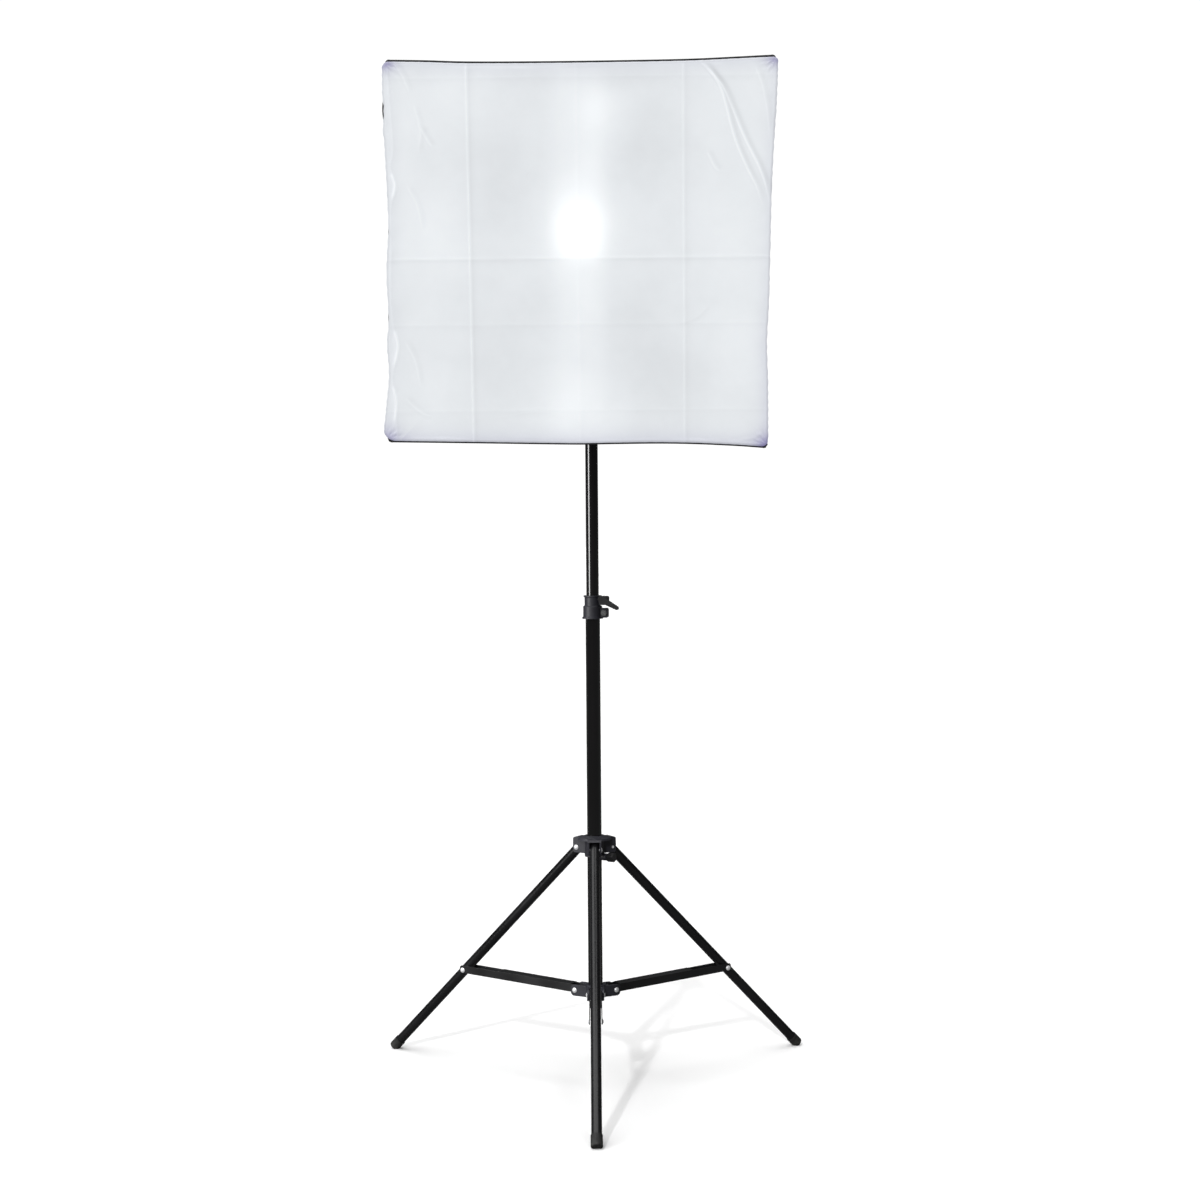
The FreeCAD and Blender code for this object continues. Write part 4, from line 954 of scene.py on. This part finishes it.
# How strong the painted shade at each gathered corner is, and how far it reaches in mm
CORNER_SHADE = {"top_left": (2.3, 12), "top_right": (2.0, 12), "bottom_left": (1.8, 18),
                "bottom_right": (2.2, 16)}


def face_edge(name, t):
    """(x, h) of the white edge along one side."""
    first, second = {"top": ("top_left", "top_right"), "bottom": ("bottom_left", "bottom_right"),
                     "left": ("top_left", "bottom_left"), "right": ("top_right", "bottom_right")}[name]
    inward = curve_through(WHITE_EDGE[name], t) * MM
    out_x, out_h = panel_outward(name)
    a, b = MOUTH[first], MOUTH[second]
    return a[0] + (b[0] - a[0]) * t - out_x * inward, a[1] + (b[1] - a[1]) * t - out_h * inward


def face_place(a, b, shrink):
    """(x, h) on the face: a runs from -1 at the left to 1, b from -1 at the bottom; shrink moves it in."""
    for name, (sa, sb) in CORNER_SIGNS.items():
        reach = 2 * CORNER_RADIUS[name] / 0.5
        ca = np.clip((a * sa - 1 + reach) / reach, 0, None)
        cb = np.clip((b * sb - 1 + reach) / reach, 0, None)
        both = (ca > 0) & (cb > 0)
        scale = np.where(both, np.maximum(ca, cb) / np.maximum(np.hypot(ca, cb), 1e-9), 1)
        a = np.where(both, sa * (1 - reach + ca * scale * reach), a)
        b = np.where(both, sb * (1 - reach + cb * scale * reach), b)
    s, t = (a + 1) / 2, (1 - b) / 2
    left_x, right_x = face_edge("left", t)[0], face_edge("right", t)[0]
    bottom_h, top_h = face_edge("bottom", s)[1], face_edge("top", s)[1]
    x = left_x + (right_x - left_x) * s
    h = bottom_h + (top_h - bottom_h) * (1 - t)
    return x - a * shrink, h - b * shrink


def polyline_distance(points, x, h):
    """Distance from each place to a line, and how far along it the nearest point is, from 0 to 1."""
    points = np.array(points, float) * MM
    steps = np.linspace(0, len(points) - 1, 60)
    fine = np.stack([curve_through(list(enumerate(column)), steps) for column in points.T], axis=1)
    best = np.full(x.shape, 1e9)
    share = np.zeros(x.shape)
    for i in range(len(fine) - 1):
        start, run = fine[i], fine[i + 1] - fine[i]
        t = np.clip(((x - start[0]) * run[0] + (h - start[1]) * run[1]) / (run @ run), 0, 1)
        away = np.hypot(x - start[0] - t * run[0], h - start[1] - t * run[1])
        closer = away < best
        best = np.where(closer, away, best)
        share = np.where(closer, (i + t) / (len(fine) - 1), share)
    return best, share


def fading(share):
    """Weight along a wrinkle that dies away at both ends."""
    return smooth_step(share, 0.0, 0.15) * smooth_step(1 - share, 0.0, 0.25)


def bump(away, width):
    """1 on a line, dying away over a width in millimetres."""
    return np.exp(-(away / (width * MM)) ** 2)


def face_relief(x, h, edge):
    """How far the cloth stands forward of its flat plane; edge is the distance in from the white edge."""
    places = np.stack([x, h, 0 * x], axis=-1).reshape(-1, 3)
    relief = 0.9 * MM * cloud(places, 0.12, 3, 2).reshape(x.shape)
    relief += 0.22 * MM * cloud(places, 0.03, 9, 3).reshape(x.shape)
    relief -= 1.0 * MM * smooth_step(edge, 0.0, 0.2)
    for creases, across in ((CREASES_UP, x), (CREASES_ACROSS, h)):
        for place, height, width, _ in creases:
            relief += height * MM * crease(across - place * MM, width * MM)
    for points, height, width, _ in WRINKLES:
        away, share = polyline_distance(points, x, h)
        relief += height * MM * fading(share) * (bump(away, width) - 0.45 * bump(away, 2.4 * width))
    away, _ = polyline_distance(LEFT_CREASE, x, h)
    outside = left_of_crease(x, h)
    relief += 0.2 * MM * bump(away, 2) - 0.6 * MM * outside * smooth_step(away, 0, 5 * MM)
    for points, height in LEFT_FOLDS:
        away, share = polyline_distance(points, x, h)
        relief += height * MM * fading(share) * bump(away, 2.2)
    side = abs(x) > abs(h)
    pucker = np.sin(h / (6.5 * MM) + 2.2 * np.sin(h / (31 * MM))) * side * 0.30 * MM
    pucker += np.sin(x / (8.0 * MM) + 2.0 * np.sin(x / (37 * MM))) * ~side * 0.12 * MM
    relief += pucker * np.exp(-edge / (8 * MM)) * (1 - np.exp(-edge / (1.5 * MM)))
    for name, (sa, sb) in CORNER_SIGNS.items():
        cx, ch = MOUTH[name]
        away = np.hypot(x - cx, h - ch)
        turn = np.arctan2((ch - h) * sb, (cx - x) * sa)
        waves = np.sin(turn * 13 + 1.3 * sa + 9 * away / 0.03)
        waves += 0.6 * np.sin(turn * 23 + sb - 5 * away / 0.02)
        relief += 0.5 * MM * waves * bump(away - 12 * MM, 9)
    return relief


def left_of_crease(x, h):
    """1 on the outer side of the left crease, else 0."""
    line = np.array(LEFT_CREASE, float)[::-1] * MM
    return (x < np.interp(h, line[:, 1], line[:, 0])).astype(float)


def glow_gain(x, h):
    """How bright the painted light through the cloth is, against its plain parts: a painted hot spot and patches,
    painted highlights along folds and wrinkles, and painted shade beside them.
    """
    gain = np.ones_like(x)
    # Painted lighter and darker patches.
    for cx, ch, half_width, half_height, amount in GLOW_PATCHES:
        gain += PATCH_GAIN * amount * bump(x - cx * MM, half_width) * bump(h - ch * MM, half_height)
    # A painted lighter column down the middle, and a painted hot spot where the lamp shines through.
    gain += 0.055 * smooth_step(x, -50 * MM, -20 * MM) * smooth_step(-x, -46 * MM, -20 * MM)
    away = (abs((x + 1 * MM) / 27) ** 2.4 + abs((h - 27 * MM) / 33) ** 2.4) ** (1 / 2.4) / MM
    hot = np.exp(-away ** 1.8) + 0.08 * np.exp(-(away / 1.9) ** 2)
    gain += 0.66 * hot * (0.55 + 0.45 * smooth_step(h, -20 * MM, 4 * MM))
    # Painted highlights along the storage folds, with painted shade to one side.
    for creases, across, dark_side, darkening in ((CREASES_UP, x, 4, 0.5), (CREASES_ACROSS, h, -3.5, 0.7)):
        for place, _, _, amount in creases:
            gain += amount * crease(across - place * MM, 0.9 * MM)
            gain -= darkening * amount * crease(across - (place + dark_side) * MM, 3 * MM)
    # Painted highlights along the wrinkles, with painted shade beside them.
    for points, _, _, amount in WRINKLES:
        away, share = polyline_distance(points, x, h)
        beside, _ = polyline_distance([(px + 4.5, ph + 1.5) for px, ph in points], x, h)
        gain += fading(share) * amount * (bump(away, 1.1) - 0.75 * bump(beside, 3.2))
    # Painted light outside the left crease, painted shade just inside it, and painted highlights along its loose
    # folds.
    away, _ = polyline_distance(LEFT_CREASE, x, h)
    outside = left_of_crease(x, h)
    gain += 0.03 * outside - 0.035 * (1 - outside) * np.exp(-away / (6 * MM))
    for points, height in LEFT_FOLDS:
        away, share = polyline_distance(points, x, h)
        gain += 0.22 * height * fading(share) * bump(away, 1.8)
    return gain


def rim_shade(x, h, edge):
    """How much painted shade falls near the dark rim and its gathers, from 0 to 2."""
    below = smooth_step(-h, 0.0, 0.24)
    at_side = abs(h) <= abs(x)
    # Painted shade along the sides and along the top and bottom edges.
    shade = 0.45 * np.exp(-(edge / (12 * MM)) ** 1.3) * (0.25 + 0.75 * below) * ~at_side
    shade += 0.45 * np.exp(-(edge / (9 * MM)) ** 1.3) * (0.45 + 0.55 * below) * at_side * (x > 0)
    shade += 0.11 * np.exp(-(edge / (10 * MM)) ** 1.3) * at_side * (x < 0)
    shade += 0.15 * np.exp(-edge / (9 * MM)) * ~at_side * (h > 0)
    # Painted shade in the gathered corners.
    for name, (strength, reach) in CORNER_SHADE.items():
        cx, ch = MOUTH[name]
        shade += strength * np.exp(-(np.hypot(x - cx, h - ch) / (reach * MM)) ** 1.6)
    return np.clip(shade, 0, 2)


def diffuser(cloth):
    """The white front: a face, and an edge that turns round and tucks inside the mouth."""
    n = FACE_STEPS
    spaced = np.linspace(-1, 1, n)
    spaced = spaced + 0.10 * np.sin(pi * spaced)
    a, b = np.meshgrid(spaced, spaced[::-1])
    x, h = face_place(a, b, ROLL)
    edge_of = [abs(face_place(np.full_like(b, s), b, ROLL)[0] - x) for s in (-1, 1)]
    edge_of += [abs(face_place(a, np.full_like(a, s), ROLL)[1] - h) for s in (-1, 1)]
    edge = np.minimum.reduce(edge_of)
    relief = face_relief(x, h, edge) * smooth_step(edge, -1e-6, 4 * MM)
    face = at(x, FACE_FORWARD - 0.4 * MM + relief, h)
    glow = glow_gain(x, h)
    shade = rim_shade(x, h, edge)

    order = [(0, j) for j in range(n)] + [(i, n - 1) for i in range(1, n)]
    order += [(n - 1, j) for j in range(n - 2, -1, -1)] + [(i, 0) for i in range(n - 2, 0, -1)]
    around = len(order)
    rim = tuple(np.array(order).T)          # row and column of each point round the face, in order
    places = np.stack([x[rim], h[rim]], axis=1)
    run = np.roll(places, -2, axis=0) - np.roll(places, 2, axis=0)
    out = unit(np.stack([-run[:, 1], run[:, 0]], axis=1))
    out *= np.sign((out * places).sum(1, keepdims=True))
    gather = cloud(np.stack([x[rim], h[rim], 0 * x[rim]], 1), 0.018, 4, 2)
    at_side = smooth_step(abs(out[:, 0]), 0.6, 0.95)
    pleats = (0.55 * at_side + 0.15) * MM * (np.sin(np.arange(around) * 0.55 + 2 * gather) + 0.6 * gather)
    edge_path = [(turn, 0, 0) for turn in np.linspace(0, pi, 11)[1:]]
    edge_path += [(pi, share * TUCK, 0) for share in (0.33, 0.67, 1)]
    edge_path += [(pi, TUCK, share * SKIRT) for share in (0.25, 0.5, 0.75, 1)]
    rows = []
    for turn, tucked, back in edge_path:
        outward = (ROLL + 0.4 * pleats) * sin(turn)
        inward = tucked + back * sin(SKIRT_SLOPE)
        rise = -ROLL_DEPTH * (1 - cos(turn)) - back * cos(SKIRT_SLOPE)
        rows.append(at(x[rim] + out[:, 0] * outward - a[rim] * inward, FACE_FORWARD - 0.4 * MM + rise,
                       h[rim] + out[:, 1] * outward - b[rim] * inward))

    faces = grid_faces(n, n)
    loops = [[i * n + j for i, j in order]]
    loops += [range(first, first + around) for first in range(n * n, n * n + len(rows) * around, around)]
    for j in range(around):
        k = (j + 1) % around
        faces += [(front[j], front[k], back[k], back[j]) for front, back in zip(loops, loops[1:])]
    flat = [np.stack([x, h], -1).reshape(-1, 2)] + [places + (0, 0.001 * i) for i in range(len(rows))]
    piece = mesh_piece("diffuser", np.concatenate([face.reshape(-1, 3), *rows]), faces, cloth,
                       uvs=np.concatenate(flat))
    outward_normals(piece)
    if Vector(piece.data.polygons[n * n // 2].normal).dot(Vector(FORWARD)) < 0:
        piece.data.flip_normals()
    # The turned edge: painted light that fades, and painted shade that deepens, the further back it runs.
    share = np.arange(len(rows))[:, None] / len(rows)
    store_glow(piece, np.append(glow, glow[rim] * (0.86 - 0.28 * share)),
               np.append(shade, np.clip(shade[rim] + 0.3 * share, 0, 2)))
    solidify(piece, 0.45 * MM)
    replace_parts(piece, "front_diffuser")
    return piece


GLOW_BASE = (0.580, 0.601, 0.617)   # painted light through the plain cloth, as emission; the room's light adds to it


def store_glow(piece, gain, shade):
    """Keeps each point's share of the lamp's light on the mesh, as painted emission."""
    layer = piece.data.attributes.new("glow", "FLOAT_COLOR", "POINT")
    # Painted light above the plain level is a little warmer.
    warm = np.clip(gain - 1, 0, None)[:, None] * np.array([1.0, 0.98, 0.94])
    plain = np.clip(gain, 0, 1)[:, None]
    # Painted shade near the rim, with a lilac cast.
    tinted = 1 - shade[:, None] * np.array(EDGE_LOSS)
    colour = (plain + warm) * np.array(GLOW_BASE) * tinted
    with_alpha = np.column_stack([colour, np.ones(len(gain))]).astype(np.float32)
    layer.data.foreach_set("color", with_alpha.ravel())


# ---------------------------------------------------------------- the whole object
# Moulded plastics as (slot, dark, light, roughness)
PLASTICS = [
    ("moulded_plastic", (0.013, 0.013, 0.018), (0.022, 0.022, 0.030), 0.42),
    ("knob_plastic", (0.004, 0.004, 0.005), (0.009, 0.009, 0.010), 0.36),
    ("holder_plastic", (0.011, 0.011, 0.012), (0.018, 0.018, 0.019), 0.40),
    ("rod_tip_plastic", (0.010, 0.010, 0.010), (0.016, 0.016, 0.016), 0.40),
]


def paint_nodes():
    """Puts a material on every CAD node that stays in view; the soft ones are drawn as pieces."""
    looks = {
        "tube_paint": black_gloss_paint(),
        "leg_paint": black_satin_paint(),
        "brace_paint": black_sheet_paint(),
        "rivet_steel": zinc_plate("rivet_zinc", 0.88, 0.34),
        # Zinc bolts coloured dark: painted shade for the recesses they sit in.
        "bolt_steel": zinc_plate("bolt_zinc_darkened_for_recess_shade", 0.13, 0.24),
        "bush_plastic": smooth_nylon(),
        "foot_rubber": foot_rubber(),
        "spigot_nickel": bright_nickel(),
        "socket_ceramic": glazed_ceramic(),
        "rod_steel": spring_steel(),
        "socket_brass": plain_metal("socket_brass", (0.72, 0.52, 0.22), (0.84, 0.64, 0.32), 0.22),
        "lamp_cap_metal": plain_metal("lamp_cap_metal", (0.70, 0.70, 0.71), (0.82, 0.82, 0.83), 0.24),
        "lamp_white": lamp_housing(),
        "lamp_opal": opal_glow(),
    }
    for slot, dark, light, rough in PLASTICS:
        looks[slot] = moulded_plastic(slot, dark, light, rough)
    for part in frame["record"]["subparts"]:
        look = looks.get(part["material_slot"])
        if look:
            mesh = frame["nodes"][part["node"]].data
            mesh.materials.clear()
            mesh.materials.append(look)


paint_nodes()
cloth, lining, binding = black_nylon(), silver_lining(), woven_binding()
tape, sewing = fuzzy_tape(), thread()
for side_name in PANELS:
    shell_panel(side_name, cloth, lining)
for corner_name in CORNER_NAMES:
    corner_seam(corner_name, binding)
    corner_pocket(corner_name, cloth)
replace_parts(ring_piece("mouth_binding", BINDING_PROFILE, binding), "rim_piping")
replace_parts(ring_piece("loop_tape", LOOP_TAPE_PROFILE, tape), "hook_loop_tape")
shell_stitches(sewing)
rear_sleeve(cloth, lining)
gather_strap(tape)
diffuser(white_nylon())


# ---------------------------------------------------------------- stage, light and camera
def stage_material(name, seen, lit):
    """A plain surface that looks one shade and gives back another."""
    s = Shader(name)
    path = s.node("ShaderNodeLightPath").outputs["Is Camera Ray"]
    s.colour(s.mix(path, (lit,) * 3, (seen,) * 3))
    s.roughness(0.9)
    s.set(ior_level=0.0)
    return s.material


STAND_SLOTS = ("tube_paint", "leg_paint", "brace_paint", "rivet_steel", "bolt_steel", "moulded_plastic",
               "knob_plastic", "foot_rubber")


def stand_pieces(name, left_out=()):
    """The painted stand and its fittings, as a collection that lights can be linked to."""
    stand = bpy.data.collections.new(name)
    for part in frame["record"]["subparts"]:
        if part["material_slot"] in STAND_SLOTS and part["node"] not in left_out:
            stand.objects.link(frame["nodes"][part["node"]])
    return stand


def lights():
    """Soft light from above, a low light for the stand's shadow only, and a side light for its tubes."""
    sun("sky", 3.0, radians(80), (-0.24, -0.14, 1))
    low_sun = sun("low_sun", 1.35, radians(2.5), (-0.47, -1.8, 1))
    low_sun.light_linking.blocker_collection = stand_pieces("stand")
    key = area_light("key_left", (-2.4, -1.35, 0.95), (0, 0, 0.95), (0.9, 1.04), 60)
    key.light_linking.receiver_collection = stand_pieces("lit_from_the_left", left_out=("lower_tube",))


def area_light(name, place, target, size, power):
    light = bpy.data.lights.new(name, "AREA")
    light.shape = "RECTANGLE"
    light.size, light.size_y = size
    light.energy = power
    made = in_scene(name, light)
    made.location = place
    made.rotation_euler = (Vector(target) - Vector(place)).to_track_quat("-Z", "Y").to_euler()
    return made


def sun(name, strength, spread, coming_from):
    """Even light from one side, so that the floor is as bright far away as it is near."""
    light = bpy.data.lights.new(name, "SUN")
    light.energy = strength
    light.angle = spread
    made = in_scene(name, light)
    made.rotation_euler = Vector(coming_from).to_track_quat("Z", "Y").to_euler()
    return made


def world_light(seen, lit):
    world = bpy.data.worlds.new("studio")
    world.use_nodes = True
    tree = world.node_tree
    background = tree.nodes["Background"]
    background.inputs["Color"].default_value = (1, 1, 1, 1)
    path = tree.nodes.new("ShaderNodeLightPath")
    level = tree.nodes.new("ShaderNodeMapRange")
    level.inputs["To Min"].default_value = lit
    level.inputs["To Max"].default_value = seen
    tree.links.new(path.outputs["Is Camera Ray"], level.inputs["Value"])
    tree.links.new(level.outputs["Result"], background.inputs["Strength"])
    bpy.context.scene.world = world


def floor():
    bpy.ops.mesh.primitive_plane_add(size=60, location=(0, 0, 0))
    made = bpy.context.object
    made.name = "floor"
    made.data.materials.append(stage_material("floor_white", 1.0, 0.16))


CAMERA_YAW, CAMERA_PITCH, CAMERA_ROLL = 0.0033, 0.0509, 0.0075      # right, down, clockwise
CAMERA_LENS = 67.25             # mm, for a 36 mm wide picture
CAMERA_DISTANCE = 3.4           # in front of the mast
CAMERA_HEIGHT = 0.9062


def camera():
    lens = bpy.data.cameras.new("camera")
    lens.lens = CAMERA_LENS
    lens.sensor_width = 36
    level = Vector((sin(CAMERA_YAW), cos(CAMERA_YAW), 0))
    forward = level * cos(CAMERA_PITCH) - Vector((0, 0, sin(CAMERA_PITCH)))
    right = Vector((cos(CAMERA_YAW), -sin(CAMERA_YAW), 0))
    down = forward.cross(right)
    tipped_right = right * cos(CAMERA_ROLL) + down * sin(CAMERA_ROLL)
    tipped_down = down * cos(CAMERA_ROLL) - right * sin(CAMERA_ROLL)
    axes = Matrix((tipped_right, -tipped_down, -forward)).transposed().to_4x4()
    made = in_scene("camera", lens)
    made.matrix_world = Matrix.Translation((0, MAST.y - CAMERA_DISTANCE, CAMERA_HEIGHT)) @ axes
    bpy.context.scene.camera = made


world_light(seen=1.05, lit=0.07)
floor()
lights()
camera()
scene = bpy.context.scene
scene.view_settings.view_transform = "Standard"
